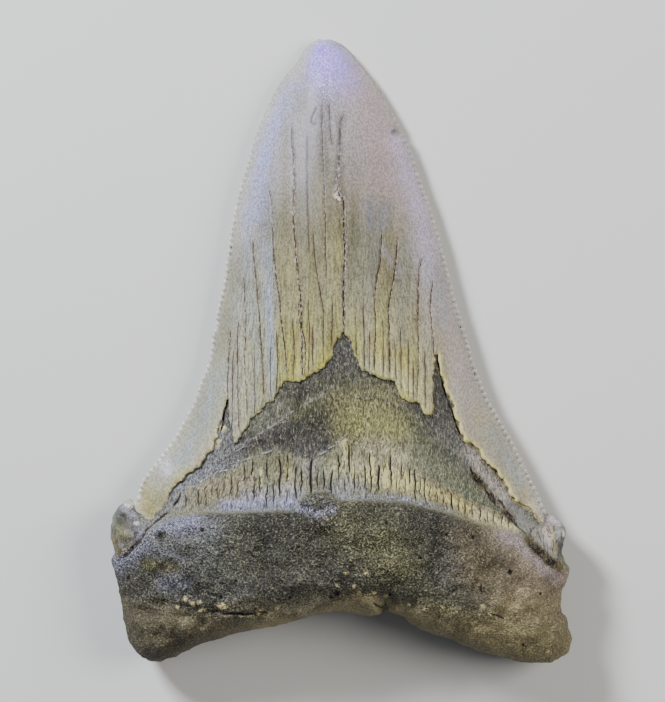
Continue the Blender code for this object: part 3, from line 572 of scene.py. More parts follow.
# The neck's hollow and its leathery skin, and the enamel that stands over it with faint flutes.
inner = unit(top_depth / 2.0)
neck = (1 - on_root) * (top_foot < 0)
height -= NECK_HOLLOW * neck * np.exp(-((top_below + 7) / 4.0) ** 2) * inner
height += BAND_STEP * neck * ease(-0.2, 0.9, in_band) * inner
leather = 0.14 * mottle(top_points, 1.6, 24, 3.4) + 0.09 * mottle(top_points, 0.75, 25, 2.0)
height += leather * neck * inner
thick = (0.25 + 0.75 * ease(-28, -24, top_y)) * (1 - 0.70 * ease(-21, -26, top_x))
thick *= 1 - 0.6 * ease(28, 32, top_x)
height += ENAMEL_STEP * thick * ease(-0.07, 0.07, top_foot) * inner
height -= 0.16 * np.exp(-(top_foot / 0.35) ** 2) * (top_foot > 0) * inner
fluting = 0.13 * mottle(top_points, 2.0, 26, 24.0) + 0.05 * mottle(top_points, 0.8, 27, 9.0)
height += fluting * ease(36, 8, top_y) * (top_foot > 0) * inner
height += 0.05 * mottle(top_points, 3.0, 28) * (top_foot > 0) * inner

# Cracks, slits and splits are cut in, and the small things stand on or in the surface. Each also
# leaves how far it reaches at every point, for the colours.
dark_fill_and_shade = np.zeros(len(top_points))
crumbs = np.zeros(len(top_points))
breaks = ease(-0.75, 0.1, mottle(top_points, 0.9, 29, 1.3))
for half, cut, filled, dark, line in grooves:
    groove = carve(top_points, line, half)
    faint = 1 - (0.60 if half < 0.15 else 0.64) * ease(8, 34, top_y)
    height -= cut * faint * groove * np.clip(top_depth / 1.5, 0.15, 1)
    bold = 1.0 if dark == 1.0 else 1.5
    # The dark kept here is the dark filling of cracks and slits, and painted shade down the splits.
    dark_fill_and_shade = np.maximum(dark_fill_and_shade, dark * faint * unit(bold * groove) * (0.35 + 0.65 * breaks))
    filling = filled**0.5 * ease(39, 33, top_y)
    crumbs = np.maximum(crumbs, filling * unit(1.4 * carve(top_points, line, half + 0.30)))
crests = np.zeros(len(top_points))
crumbling = ease(-0.15, 0.35, mottle(top_points, 0.55, 31))
for half, pale, line in ridges:
    crest = carve(top_points, line, half) * crumbling
    height += NECK_RIDGE_HEIGHT * crest * inner
    crests = np.maximum(crests, pale * crest)
for x, y, radius, cut in PITS:
    pit = unit(1.15 - np.hypot(*(top_points - (x, y)).T) / radius)
    height -= cut * pit
    # Pits are darkened with painted shade in the hollow.
    dark_fill_and_shade = np.maximum(dark_fill_and_shade, pit * (0.35 if radius > 0.8 else 1))
for x, y, radius, rise in LUMPS:
    height += rise * unit(1 - (np.hypot(*(top_points - (x, y)).T) / radius) ** 2) ** 0.7
specks = np.zeros(len(top_points))
for x, y, long, short, degrees in SPECKS:
    reach = (top_points - (x, y)) @ turned(degrees).T / (long, short)
    speck = ease(1.2, 0.85, np.hypot(*reach.T))
    height += SPECK_HEIGHT * speck
    specks = np.maximum(specks, speck)

# The serrations' ridges run a little way in over the blade.
tip_highlights = np.zeros(len(top_points))
notches = np.zeros(len(top_points))
bite = ease(49, 26, top_y)
for line in (left_edge, right_edge):
    gap, along = nearest(top_points, line)
    crest = np.abs(np.sin(np.pi * along / SERRATION_PITCH)) ** 0.7
    height += SERRATION_RIDGE_HEIGHT * (crest - 0.4) * (unit(1 - gap / 1.1) * ease(0, 0.1, gap) * bite)
    tip_highlights = np.maximum(tip_highlights, crest * unit(1.25 - gap / 0.5) * (0.25 + 0.75 * bite))
    notches = np.maximum(notches, (1 - crest) * unit(1.3 - gap / 0.8) * ease(46, 30, top_y))
height[:len(rim)] = edge[:len(rim)]

under_depth = inset(under_points)
under_depth[:len(rim)] = 0
under_edge = curve_at(EDGE_HEIGHT, under_points[:, 1])
under_crown = under_edge * blade_share(under_points) ** 2.6 - cusps(under_points, under_depth) - 0.3
under_root = under_edge * (1 - rounded(under_depth, 6.0)) - 0.3
under_root += 0.3 * mottle(under_points, 2.6, 30) * unit(under_depth / 4)
under_share = ease(-4, 4, below_rim(under_points))
under_height = np.maximum(0, under_crown + (under_root - under_crown) * under_share)
under_height[:len(rim)] = under_edge[:len(rim)]

# One mesh from both faces, which share the rim.
under_faces = np.where(under_faces < len(rim), under_faces, under_faces + len(top_points) - len(rim))
points = np.vstack([top_points, under_points[len(rim):]])
heights = np.concatenate([height, under_height[len(rim):]])
faces = np.vstack([top_faces, under_faces[:, ::-1]])
lingual = np.arange(len(points)) < len(top_points)


def spread(values, other=0.0):
    """A value for every vertex: the given ones on the upper face, `other` on the lower one."""
    found = np.full(len(points), float(other))
    found[lingual] = values
    return found


# Its colours, laid on as glazes over one another.
def linear(code):
    """A colour such as "b0a890" as linear red, green and blue."""
    srgb = np.array([int(code[k:k + 2], 16) for k in (0, 2, 4)]) / 255
    return np.where(srgb > 0.04045, ((srgb + 0.055) / 1.055) ** 2.4, srgb / 12.92)


def glaze(paint, code, amount):
    """The paint with a glaze of the colour over it, as strong as the amount, at most 1."""
    amount = unit(amount)[:, None]
    return paint * (1 - amount) + linear(code) * amount


def near(line, width):
    """1 on the line, fading to nothing about twice the width away, on the upper face only."""
    return np.exp(-(nearest(points, np.array(line))[0] / width) ** 2) * lingual


def glazed(paint, texture, rows):
    """The paint with glazes over it in turn, each with its colour, strength, width and course."""
    for code, amount, width, line in rows:
        paint = glaze(paint, code, amount * texture * near(line, width))
    return paint


def strongest(rows):
    """The strongest of several strokes, each with its strength, width and course."""
    return np.max([amount * near(line, width) for amount, width, line in rows], axis=0)


side, level = points.T
cloud = mottle(points, 5.0, 40)
fleck = mottle(points, 0.9, 41)
streaks = mottle(points, 0.75, 42, 14.0)
broad_streaks = mottle(points, 1.7, 43, 30.0)
fibres = mottle(points, 0.45, 44, 3.0)

# The enamel is grey, olive along its middle and yellower towards its foot. The purple-blue at
# the tip and the pale lavender down both flanks are partly its own tint and partly painted
# reflection of the light.
enamel_paint = np.tile(linear("a39d93"), (len(points), 1))
for code, amount, flecked, streaked, width, line in [
    # Lavender-grey round the tip: partly painted reflection of the light.
    ("b1adb4", 0.80, 0, 0, 6.0, [(-5.2, 51.8), (-2.9, 44.9), (-3.4, 39.5)]),
    ("aaa7a2", 0.70, 0, 0, 2.4, [(-8.1, 51.8), (-12.4, 44.9), (-15.5, 37.7), (-17.6, 30.5)]),
    # Purple-blue at the tip and a pale blue streak down the left flank, in the next five rows: partly the
    # enamel's own tint and partly painted reflection of the light.
    ("836ae8", 0.90, 0.2, 0, 2.7, [(-2.9, 55), (-3.2, 49.6)]),
    ("a698e2", 0.60, 0, 0, 2.6, [(-2.7, 50.3), (-2.9, 46.4)]),
    ("a18fe6", 0.85, 0.3, 0, 3.0, [(-0.5, 51.8), (1.6, 47.8)]),
    ("949ad4", 0.65, 0.3, 0, 2.1, [(-9, 46.4), (-11.9, 41.3), (-13.5, 35.9), (-14.2, 29.6), (-14.9, 24.2)]),
    ("9aa3c0", 0.50, 0, 0.4, 3.2, [(-15.5, 24.2), (-16.4, 16.1), (-17.5, 8.9)]),
    ("a99698", 0.80, 0, 0, 6.0, [(5.6, 44.9), (7, 35.9), (6.7, 26.9)]),
    # Pale lavender down the right flank: partly painted reflection of the light.
    ("bcaad0", 0.65, 0.3, 0, 2.4, [(11, 37.7), (13, 30.5), (14.4, 24.2), (16, 15.8)]),
]:
    strength = amount + flecked * fleck + streaked * streaks
    enamel_paint = glaze(enamel_paint, code, strength * near(line, width))
olive = ease(34, 14, level + 6 * np.abs(side + 1) / 20) * ease(20, 13, np.abs(side + 1.5))
enamel_paint = glaze(enamel_paint, "8d8a5a", olive * (0.72 + 0.25 * broad_streaks) * lingual)
ripe = ease(12, -4, level) * ease(19, 13, np.abs(side - 2))
enamel_paint = glaze(enamel_paint, "a9a548", ripe * (0.66 + 0.45 * broad_streaks + 0.15 * streaks) * lingual)
enamel_paint = glazed(enamel_paint, 1 + 0.3 * streaks, [
    ("75716d", 0.62, 6.0, [(-6.5, 43.1), (-6.8, 30.5), (-7, 17.9)]),
    ("8a877c", 0.40, 1.8, [(-14.2, 21.5), (-15.3, 10.7)]),
    ("8c8a72", 0.45, 1.4, [(-18.7, 3.5), (-18.9, -10.9)]),
    ("8b8579", 0.70, 1.8, [(18.4, 12.5), (19.6, 5.3)]),
    ("8d887c", 0.50, 1.6, [(24.3, -2.2), (26.5, -8.4)]),
    ("645f44", 0.66, 6.6, [(-0.5, 31.4), (1.6, 24.2), (2.7, 14.7)]),
    ("5f5e4c", 0.42, 2.4, [(-9.9, 10.7), (-10.1, -7.3)]),
    ("74724a", 0.90, 2.0, [(-15.1, -5.8), (-14, -11.2)]),
    ("716f69", 0.80, 1.8, [(-20.7, 14.3), (-22.3, 0.8), (-25, -10)]),
    ("5c5846", 0.34, 3.6, [(-4, 44.9), (-3.6, 26.9), (-2.9, 2.6)]),
    ("5f5c4c", 0.42, 3.2, [(-9.2, 24.2), (-8.6, 8.9)]),
    ("686452", 0.50, 2.8, [(7, 24.2), (7.4, 11.6)]),
    ("6c6c66", 0.30, 2.6, [(-20, 14.3), (-20.7, 5.3)]),
    ("4d4a30", 0.56, 5.0, [(-7.7, 21.1), (0.7, 19.7), (7, 15.8)]),
    ("62625c", 0.52, 2.6, [(-19.4, 17), (-20.5, 3.5)]),
    ("716f72", 0.36, 2.6, [(-13.9, 28.7), (-14.2, 15.8)]),
    ("7d7672", 0.34, 2.2, [(17.8, 14.7), (19.1, 5.7)]),
    ("696b66", 0.58, 2.4, [(-24.1, -6.9), (-27.9, -14.5)]),
    ("716e50", 0.45, 4.0, [(-7.7, 26), (-6.3, 13.4)]),
    ("7d7f74", 0.40, 3.0, [(-19.6, 11.6), (-14.2, 8.9)]),
    # Pale lavender down the right flank: partly painted reflection of the light.
    ("b7b0c6", 0.50, 2.4, [(14.2, 17.9), (17.1, 8.9)]),
    ("7c7a60", 0.35, 3.0, [(-1.1, 10.7), (-2, 1.7)]),
    ("8d8890", 0.35, 4.0, [(1.6, 39.5), (2, 32.3)]),
    ("7f7c62", 0.60, 1.5, [(-3.4, 29.6), (-4.1, 19.7)]),
    ("8f949c", 0.60, 1.1, [(-13.3, 17.9), (-12.8, 3.5), (-12.4, -8.2)]),
    ("8f9798", 0.45, 1.6, [(-15.3, 7.1), (-15.3, -9.1)]),
    ("9c9768", 0.60, 0.9, [(-16.4, 0.8), (-16.9, -10)]),
    ("8a93a2", 0.40, 0.8, [(-13.1, 10.7), (-12.2, -3.7)]),
    ("8a8c7c", 0.45, 1.3, [(-20.7, -8.2), (-19.8, -13.6)]),
    ("9da0a4", 0.40, 1.3, [(-18.9, 8.9), (-18.7, -12.7)]),
    ("827f66", 0.55, 1.2, [(-8.8, 17.9), (-8.8, 5.3)]),
    ("82806a", 0.50, 1.3, [(-1.8, 17.9), (-2.2, 3.5)]),
    ("83827a", 0.65, 1.6, [(11.2, 17.9), (11, 1.7)]),
    ("77746a", 0.45, 2.0, [(6.7, 19.7), (8.5, 13.4)]),
    ("9f9a90", 0.55, 1.0, [(15.1, 10.7), (15.1, -3.7)]),
    ("7c7a60", 0.50, 1.5, [(3.8, 17.9), (4.5, 8.9)]),
    ("989079", 0.55, 1.0, [(-4.1, 3.5), (-5.2, -4)]),
    ("79753f", 0.35, 2.8, [(-5.9, 15.8), (-3.8, 3.5)]),
    ("bfbb92", 0.60, 2.2, [(4.1, -2.6), (8.1, -3.9), (12.8, -6.6)]),
    ("a69a98", 0.75, 3.2, [(18.9, 8.9), (21.1, -0.1), (23.9, -8.4)]),
    ("98979c", 0.60, 1.5, [(17.1, 14.3), (18.5, 5.3)]),
    ("9a9378", 0.80, 3.6, [(26.3, -12.7), (30.1, -19.9), (34, -27.1)]),
    ("8f9594", 0.80, 1.5, [(27.2, -14.5), (32.2, -23.5)]),
    ("8f918c", 0.85, 3.4, [(-21.4, -3.7), (-24.5, -12.7), (-29.3, -20.2), (-33.5, -25.3)]),
    ("8490a0", 0.75, 1.5, [(-22.3, -4.6), (-24.5, -12.7), (-27.9, -18.4), (-31.5, -23.5)]),
    ("97845a", 0.70, 0.55, [(-21.6, -13.6), (-23, -17.7), (-26.1, -21), (-29.7, -24), (-31.1, -27.1)]),
    # Painted highlight on the left wing.
    ("c3c3dc", 0.85, 1.2, [(-32.2, -20.1), (-31.1, -21.5)]),
    ("9c9a72", 0.70, 1.7, [(-34, -28.5), (-31.7, -26), (-28.6, -22.8)]),
    ("887f48", 0.85, 1.5, [(-35.5, -24.6), (-35.3, -27.1), (-34, -28.5)]),
    ("8f8c80", 0.60, 1.2, [(-32.6, -26.4), (-30.8, -23.9)]),
    ("777b8e", 0.36, 1.4, [(5, 25.8), (5.6, 22.6)]),
    ("7d8190", 0.55, 1.0, [(8.1, 25.5), (7.6, 21.9)]),
    ("7b788c", 0.65, 0.7, [(7.4, 18.4), (8.8, 15.8), (10.3, 13.8)]),
    ("8e8a5e", 0.60, 1.0, [(-0.5, 18.3), (-0.7, 15.8)]),
    # Painted shade in the small nick of the edge.
    ("6f7784", 0.90, 0.55, [(9.8, 39.4), (10.9, 39.8)]),
    ("8b8657", 0.60, 1.3, [(-14.4, -6.2), (-13.9, -10.9)]),
    ("726c5c", 0.62, 1.1, [(-34.6, -28.9), (-32.9, -27.6), (-31.7, -26.6)]),
    ("574b44", 0.50, 0.9, [(-0.2, 32.7), (-0.4, 28.7), (0, 26.6)]),
])
# Each strip between two long cracks, counted in their table, has its own tint, which fades out
# towards the tip.
LONG_CRACKS = (0, 1, 3, 4, 7, 8, 9, 10, 13, 14, 15, 16)
strip = np.zeros(len(points), int)
for line in (grooves[k][-1] for k in LONG_CRACKS):
    order = line[:, 1].argsort()
    strip += side > np.interp(level, line[order, 1], line[order, 0])
strip_tint = np.random.default_rng(3).uniform(-1, 1, 14)[strip] * ease(30, 12, level) * lingual
enamel_paint = glaze(enamel_paint, "85888a", 0.32 * strip_tint)
enamel_paint = glaze(enamel_paint, "9d9450", -0.30 * strip_tint)
margin = np.exp(-(spread(top_depth, 9) / 1.5) ** 2)
enamel_paint = glaze(enamel_paint, "a29d94", 0.55 * margin)
# The small nick in the edge is darkened with painted shade.
enamel_paint = glaze(enamel_paint, "343644", 0.90 * near([(9.4, 39.2), (10, 39.4), (10.8, 39.6)], 0.42))
# Yellow along the enamel's broken edge: partly the edge's own colour and partly a painted highlight where
# the edge catches the light.
yellow_edge_and_highlight = np.exp(-np.abs(spread(top_foot, 9)) / 0.5) * ease(-30, -22, level)
enamel_paint = glaze(enamel_paint, "a29a5c", (0.32 + 0.8 * fibres) * yellow_edge_and_highlight)
right_gap = near([(17.8, -5.5), (19.6, -10.9), (21.8, -16.3), (25, -19.5), (28.6, -23.5)], 1.6)
enamel_paint = glaze(enamel_paint, "c4b26e", (0.9 + 0.5 * fibres) * yellow_edge_and_highlight * right_gap)
# The enamel is stained beside its cracks, brown below and greyer towards the tip.
beside = np.zeros(len(points))
for half, *_, line in grooves[:len(CRACKS)]:
    beside = np.maximum(beside, spread(carve(top_points, line, 3.0 * half + 0.1)))
near_tip = ease(20, 34, level)
enamel_paint = glaze(enamel_paint, "6f5f45", beside * (0.60 + 0.6 * fibres) * (1 - near_tip))
enamel_paint = glaze(enamel_paint, "625b5f", 0.80 * beside * near_tip)
enamel_paint *= (1 + 0.05 * cloud + 0.06 * streaks * ease(30, 5, level))[:, None]

# The neck is dark, with the paler band of slits below. Its olive middle is partly painted light,
# the dark under the enamel is partly painted shade, and the lilac just above the root's rim is
# painted reflection of the light.
neck_paint = np.tile(linear("484741"), (len(points), 1))
neck_paint = glazed(neck_paint, 1 + 0.35 * streaks, [
    ("6f7072", 0.80, 3.0, [(-21.4, -16.3), (-26.1, -22.8), (-31.1, -28.5), (-36.2, -34.3)]),
    ("555444", 0.70, 3.5, [(-14.2, -13.6), (-9.2, -8.7), (-4.1, -7.7)]),
    ("4a4842", 0.45, 1.3, [(-9.9, -8.4), (-7.4, -7.7)]),
    # Olive across the middle, here and two rows on: partly the neck's own colour and partly painted light.
    ("7e7c54", 0.80, 3.6, [(1.6, -9.8), (7, -9.8), (10.3, -12.3)]),
    ("68684c", 0.60, 2.6, [(10.6, -12.7), (14.9, -16.3)]),
    ("8f8c56", 0.75, 2.6, [(1.6, -13.4), (8.8, -14.5)]),
    ("625f3e", 0.60, 3.0, [(-7.4, -10.5), (-1.1, -9.4)]),
    # Painted shade: a dark arch under the middle of the enamel.
    ("2f2d28", 0.75, 1.7, [(-16.4, -16.5), (-11.7, -15), (-7.4, -13.9), (-3.8, -12)]),
    ("6f6b48", 0.50, 1.8, [(0.9, -13.4), (3.1, -16.3)]),
    # Partly the neck's own dark and partly painted shade under the enamel's edge.
    ("3c3b33", 0.42, 2.6, [(-16.4, -13.4), (-12.4, -10.5), (-7.4, -8), (-2.7, -6.2)]),
    ("a7a284", 0.85, 2.6, [(5.6, -17.7), (9.7, -18.8), (14.2, -21)]),
    ("454440", 0.85, 2.0, [(12.8, -9.4), (15.7, -12), (18.9, -14.8), (20, -18.1)]),
    ("65645e", 0.75, 2.0, [(18.9, -15.6), (22.5, -19.5)]),
    ("686b56", 0.85, 3.4, [(15.1, -20.2), (19.6, -23.1), (24.3, -27.1)]),
    ("9f968a", 0.85, 1.3, [(22.9, -18.4), (24.3, -20.6), (26.8, -23.7), (29.3, -26.4)]),
    ("6d6e5c", 0.34, 1.4, [(-16.4, -14.1), (-10.6, -10.5)]),
    ("34342f", 0.75, 0.85, [(-7.6, -8.6), (-5.9, -6.9)]),
    ("85847c", 0.34, 0.32, [(-20.3, -18.4), (-14.2, -15), (-7.4, -10.2), (-3.1, -7.8)]),
    ("4a4a38", 0.65, 0.28, [(1.3, -8.6), (5.6, -8.4), (8.5, -9.3), (11, -11.1), (12.8, -13.4)]),
])
band = spread(ease(-0.9, 1.1, in_band + 1.0 * streaks[lingual]), 0) * lingual
neck_paint = glaze(neck_paint, "757459", band * (0.85 + 0.3 * fibres))
neck_paint = glazed(neck_paint, (1 + 0.4 * fibres) * band, [
    ("857a60", 0.70, 2.4, [(-25.4, -24.9), (-21.4, -24.6), (-17.3, -23.1)]),
    ("a39f82", 0.80, 1.7, [(0.9, -17.7), (2, -20.2), (5.9, -21), (9.2, -22.1), (12.4, -23.5)]),
    ("8d8c80", 0.70, 1.8, [(-9.5, -24.9), (-8.1, -23.5), (-5.9, -20.2)]),
    ("8b805a", 0.55, 2.0, [(-9.9, -21.7), (-7.4, -23.5)]),
    ("77776c", 0.70, 1.8, [(-5.2, -21), (0.7, -23.5)]),
    ("aaa47c", 0.80, 1.0, [(1.1, -15.6), (0.9, -19.9)]),
    ("b3ac7a", 0.85, 1.8, [(7, -22.4), (10.6, -23.1), (14.9, -24.6)]),
    ("a7a37c", 0.75, 1.8, [(-1.1, -21), (4.3, -22.1), (7.9, -21.7)]),
    # Painted reflection: a lilac line just above the root's rim.
    ("8a8cab", 0.80, 0.85, [(-20.9, -27.5), (-16.4, -27.1), (-11.7, -26.9), (-8.8, -26.6)]),
    ("8f8e8c", 0.60, 1.2, [(-0.5, -23.9), (3.8, -24.2)]),
    ("9a979e", 0.55, 1.2, [(-16.7, -25.8), (-12.8, -25.5), (-8.1, -24.9)]),
    ("a39563", 0.78, 1.4, [(16.4, -25.3), (19.6, -26.6), (23.2, -28.2)]),
    ("b8ad88", 0.85, 1.3, [(24.3, -29.1), (30.8, -31.8)]),
    ("78797c", 0.80, 1.7, [(-29.3, -26.6), (-31.7, -28.5), (-34.4, -30.7), (-36.2, -32.9)]),
])
below = spread(top_below, -30)
# Painted reflection of the light: lilac in a thin line just above the root's rim, in the stretches given
# next.
painted_sheen = np.exp(-((below + 0.7) / 0.60) ** 2)
reflection_places = near([(-20.9, -27.4), (-14.2, -27.6), (-8.8, -26.9)], 3.4)
reflection_places += near([(-0.2, -24.8), (9.7, -25.1), (16, -27.6)], 3.8)
neck_paint = glaze(neck_paint, "6b6f84", (0.45 + 0.6 * fibres) * painted_sheen * reflection_places)
neck_paint = glaze(neck_paint, "b6b0b8", 0.85 * spread(crests))

# The knobs under the shoulders are smooth and pearly.
knobs = strongest([
    (1.0, 1.9, [(-40, -29.1), (-39.1, -30.7), (-38.5, -33.4), (-39.8, -35.7)]),
    (1.0, 1.7, [(37.8, -30.3), (38.9, -32.1), (38.2, -35.2)]),
])
neck_paint = glaze(neck_paint, "4b4a44", knobs)
lilac_strip = near([(30.4, -28.2), (32.9, -31.1), (35.6, -34.1), (37.3, -36.1)], 1.35)
neck_paint = glaze(neck_paint, "75736e", 0.9 * lilac_strip)
neck_paint = glazed(neck_paint, 1, [
    ("83808a", 0.80, 0.6, [(-39.2, -28.4), (-37.6, -29.2), (-36, -30.5)]),
    # Painted shade in the dimple of the left knob.
    ("3c4238", 0.85, 0.5, [(-40.3, -29.8), (-39.8, -31.1), (-38.7, -31.6)]),
    ("5f6558", 0.80, 0.9, [(-40.9, -30), (-41, -32.1)]),
    ("77724f", 0.80, 1.0, [(-39.4, -32.3), (-37.8, -33)]),
    ("8d8150", 0.80, 0.45, [(-40.9, -34.1), (-40.1, -34.5)]),
    ("5e573f", 0.85, 1.2, [(-40.1, -35.7), (-38.7, -36.3)]),
    ("5d5c63", 0.80, 1.3, [(-36.7, -31.8), (-35.6, -33.6)]),
    ("6a6a62", 0.80, 1.2, [(-35.3, -30.7), (-33.3, -30), (-31.9, -28.9)]),
    # Painted highlights: white spots on the left knob, here and in the next row.
    ("e4e1dc", 0.80, 0.35, [(-38.6, -27.8), (-38, -28)]),
    ("e4e1dc", 0.80, 0.30, [(-36.6, -31), (-36.4, -31)]),
    ("b9adb2", 0.85, 0.9, [(37.6, -30.1), (38.9, -31.1)]),
    ("b3a678", 0.80, 0.45, [(37.3, -31.9), (37.8, -33.9), (38.2, -35.9)]),
    ("a89d97", 0.85, 1.0, [(36.5, -32.1), (36.9, -35)]),
    ("3f463f", 0.85, 0.7, [(39.6, -33.8), (39.2, -36.3)]),
    ("a9a8a8", 0.60, 0.6, [(38.7, -32.5), (38.9, -33.9)]),
    # Painted highlight: a white spot on the right knob.
    ("e6e3e0", 0.80, 0.3, [(39.6, -32.5), (39.8, -33.2)]),
])

# The root is nearly black in its middle and browner on the right. The bluish along the left
# shoulder is painted reflection of the light.
root_paint = np.tile(linear("3c3b33"), (len(points), 1))
root_paint = glazed(root_paint, 1 + 0.3 * cloud, [
    ("3d3e39", 0.80, 4.5, [(-23.6, -32.5), (-20.9, -41.5)]),
    # Painted reflection of the light: bluish along the left shoulder.
    ("605f6e", 0.75, 2.0, [(-39.4, -38.2), (-36.2, -35.7), (-32.6, -32.9), (-28.6, -31.6), (-26.5, -31.2)]),
    # Painted shade: darker just below the rim, where the root turns away from the light.
    ("24231d", 0.60, 1.6, [(-19.6, -30.5), (-16.4, -30.1), (-10.1, -30.1)]),
    # Painted reflection: bluish on the folds low on the left.
    ("4f525c", 0.65, 1.5, [(-30.8, -41.5), (-28.1, -41.1)]),
    ("535340", 0.60, 3.0, [(-19.1, -30.7), (-18.2, -37.9)]),
    ("33322c", 0.70, 4.0, [(-11.9, -32.5), (-7.4, -40.6)]),
    ("5a593d", 0.65, 4.5, [(0.7, -30.7), (7, -33.4), (9.7, -38.8)]),
    ("5b5a4e", 0.75, 3.4, [(-8.1, -35.2), (-6.3, -40.6), (-3.4, -44.4)]),
    ("2d2d29", 0.25, 2.4, [(-22.9, -37.2), (-23.2, -39.7)]),
    # Painted reflection: grey-lilac at the left end of the rim.
    ("67676c", 0.55, 3.0, [(-24.8, -30.7), (-22.5, -31.4)]),
    ("64645f", 0.45, 2.4, [(-26.1, -33.6), (-25, -37.2)]),
    ("5b5b54", 0.45, 2.2, [(-21.4, -41.5), (-18.2, -41.9)]),
    ("5a584d", 0.45, 2.4, [(-37.3, -40.8), (-34.7, -43.3)]),
    ("23221d", 0.50, 2.6, [(-10.3, -31.1), (-8.5, -35.4)]),
    ("272620", 0.50, 2.0, [(-4.9, -30.1), (-2.7, -31.8)]),
    ("5b5b55", 0.55, 2.4, [(-18.9, -38.2), (-17.1, -43.3)]),
    ("24251f", 0.20, 2.2, [(-20, -31.1), (-14.2, -31.1)]),
    # Painted reflection: bluish on the left shoulder, here and in the next row.
    ("76767c", 0.75, 1.6, [(-31.5, -35.9), (-29, -37.4)]),
    ("4b4b52", 0.60, 1.6, [(-36.2, -34.3), (-34, -33.9)]),
    ("948676", 0.75, 2.0, [(38, -37.2), (40.1, -39.3), (40.5, -47.2)]),
    ("292824", 0.78, 1.8, [(16.6, -29.2), (17.1, -37.9)]),
    ("5d5f5c", 0.45, 2.2, [(19.3, -37.2), (18.9, -42.4)]),
    ("6e6450", 0.90, 6.3, [(25.4, -36.5), (30.1, -40.8), (35.8, -45.1)]),
    ("7c7160", 0.80, 2.6, [(26.8, -32.1), (32.2, -36.1), (37.3, -42.4)]),
    ("4d4635", 0.80, 1.8, [(23.2, -32.1), (25, -37.9)]),
    ("54502e", 0.80, 1.2, [(-34.7, -37.9), (-29, -38.4)]),
    ("57522f", 0.60, 1.2, [(-32.9, -33), (-31.1, -32.9)]),
    ("8b7e7d", 0.80, 1.3, [(28.6, -32.7), (32.2, -34.5), (35.8, -38.1), (38.7, -41.1)]),
    ("62605a", 0.85, 1.1, [(-6.3, -26.2), (-3.4, -26), (-1.8, -26.7)]),
    ("2b2a22", 0.80, 0.28, [(-7, -26), (-6.3, -25.4), (-5.4, -25.5), (-4.7, -25.8), (-4.1, -25.2),
        (-2.9, -25.1), (-1.8, -25.6)]),
    # Partly the base's own pale khaki and partly painted light that lifts its steep lower face, here and in
    # the next two rows.
    ("b0a985", 0.90, 2.1, [(-15.3, -48.3), (-8.8, -47.1), (-4.1, -46.2)]),
    ("b3a985", 0.90, 1.9, [(9.9, -46.2), (16, -48.5), (21.4, -50.5)]),
    ("a3956f", 0.65, 3.2, [(29.7, -46.5), (34.4, -46.5), (37.3, -49)]),
    ("7a6f56", 0.70, 2.0, [(38, -43.6), (39.4, -47.2), (40.1, -52.3)]),
    # Painted reflection: a bluish line just below the rim on the left.
    ("74758a", 0.70, 1.3, [(-32.6, -31.6), (-29.7, -30.3), (-26.5, -30.1)]),
    ("5d5e6e", 0.80, 0.75, [(-7.7, -27.7), (-6.1, -27.9), (-4, -28.7), (-1.6, -28)]),
    ("26241c", 0.80, 0.40, [(-7, -27), (-5.8, -27.3), (-4, -27.8), (-1.8, -27.1)]),
    ("4c4e33", 0.85, 0.5, [(-32.5, -33.3), (-31, -32.9)]),
])
# The base below the crease is browner, and the crease itself is darkened with painted shade.
basal = curve_at(CREASE, side, 1.0) - level + 1.1 * cloud + 0.5 * fleck
root_paint = glaze(root_paint, "514b3a", 0.9 * ease(-1.8, 2.2, basal) * lingual)
root_paint = glaze(root_paint, "8b8160", ease(-1.0, 2.4, basal) * ease(-24, -12, side) * lingual)
root_paint = glaze(root_paint, "696246", 0.6 * ease(-0.5, 2, basal) * ease(8, 28, side) * lingual)
crease_shade = np.exp(-((basal - 0.3) / 0.45) ** 2) * (0.3 + 0.9 * fleck) * ease(12, 2, side)
root_paint = glaze(root_paint, "353027", 0.7 * crease_shade * lingual)
root_paint = glazed(root_paint, 1, [
    ("5c5a42", 0.40, 2.5, [(10.6, -43.6), (19.6, -44.5)]),
    # Painted light: a paler line along the crease on the right lifts the shade of its down-turned slope.
    ("7e7657", 0.65, 1.3, [(0.2, -45.8), (5.6, -46), (11, -46.4), (17.8, -46.2), (25, -47.2), (32.2, -48),
        (37.3, -48.3)]),
    ("837a5e", 0.45, 1.8, [(-30.8, -47.2), (-24.5, -49), (-18.2, -45.8), (-14.2, -45.1)]),
])
root_paint *= (1.10 + 0.16 * cloud + 0.16 * mottle(points, 2.2, 45) + 0.14 * fleck)[:, None]

# On the outer face the enamel reaches a little lower, in one arched line.
arch = -24.5 + 4.5 * np.cos(side / 38 * np.pi / 2) + 0.5 * mottle(points, 2.0, 46)
under_enamel = ease(-0.25, 0.25, level - arch)
enamel = np.where(lingual, spread(ease(-0.05, 0.06, top_foot)), under_enamel)
root = np.where(lingual, spread(ease(-0.35, 0.35, top_below)), ease(3.0, 3.6, arch - level))
stain = neck_paint + (root_paint - neck_paint) * root[:, None]
stain += (enamel_paint - stain) * enamel[:, None]
# The wide shallow trenches are brown, not black.
for half, _, _, dark, line in grooves:
    if dark < 0.8:
        stain = glaze(stain, "4d4528", ease(1.15, 0.90, nearest(points, line)[0] / half) * lingual)
stain = glazed(stain, 1, [
    ("9f9260", 0.8, 0.32, [(31, -26.9), (32.4, -27.7), (33.8, -28.5), (34.9, -29.7), (35.8, -30.7)]),
])
speck_share = spread(specks)
stain = glaze(stain, "c4b684", 0.9 * speck_share)
stain = glaze(stain, "dcd2d3", 0.75 * speck_share * near([(-0.5, 29.1), (-0.5, 26.9)], 1.2))
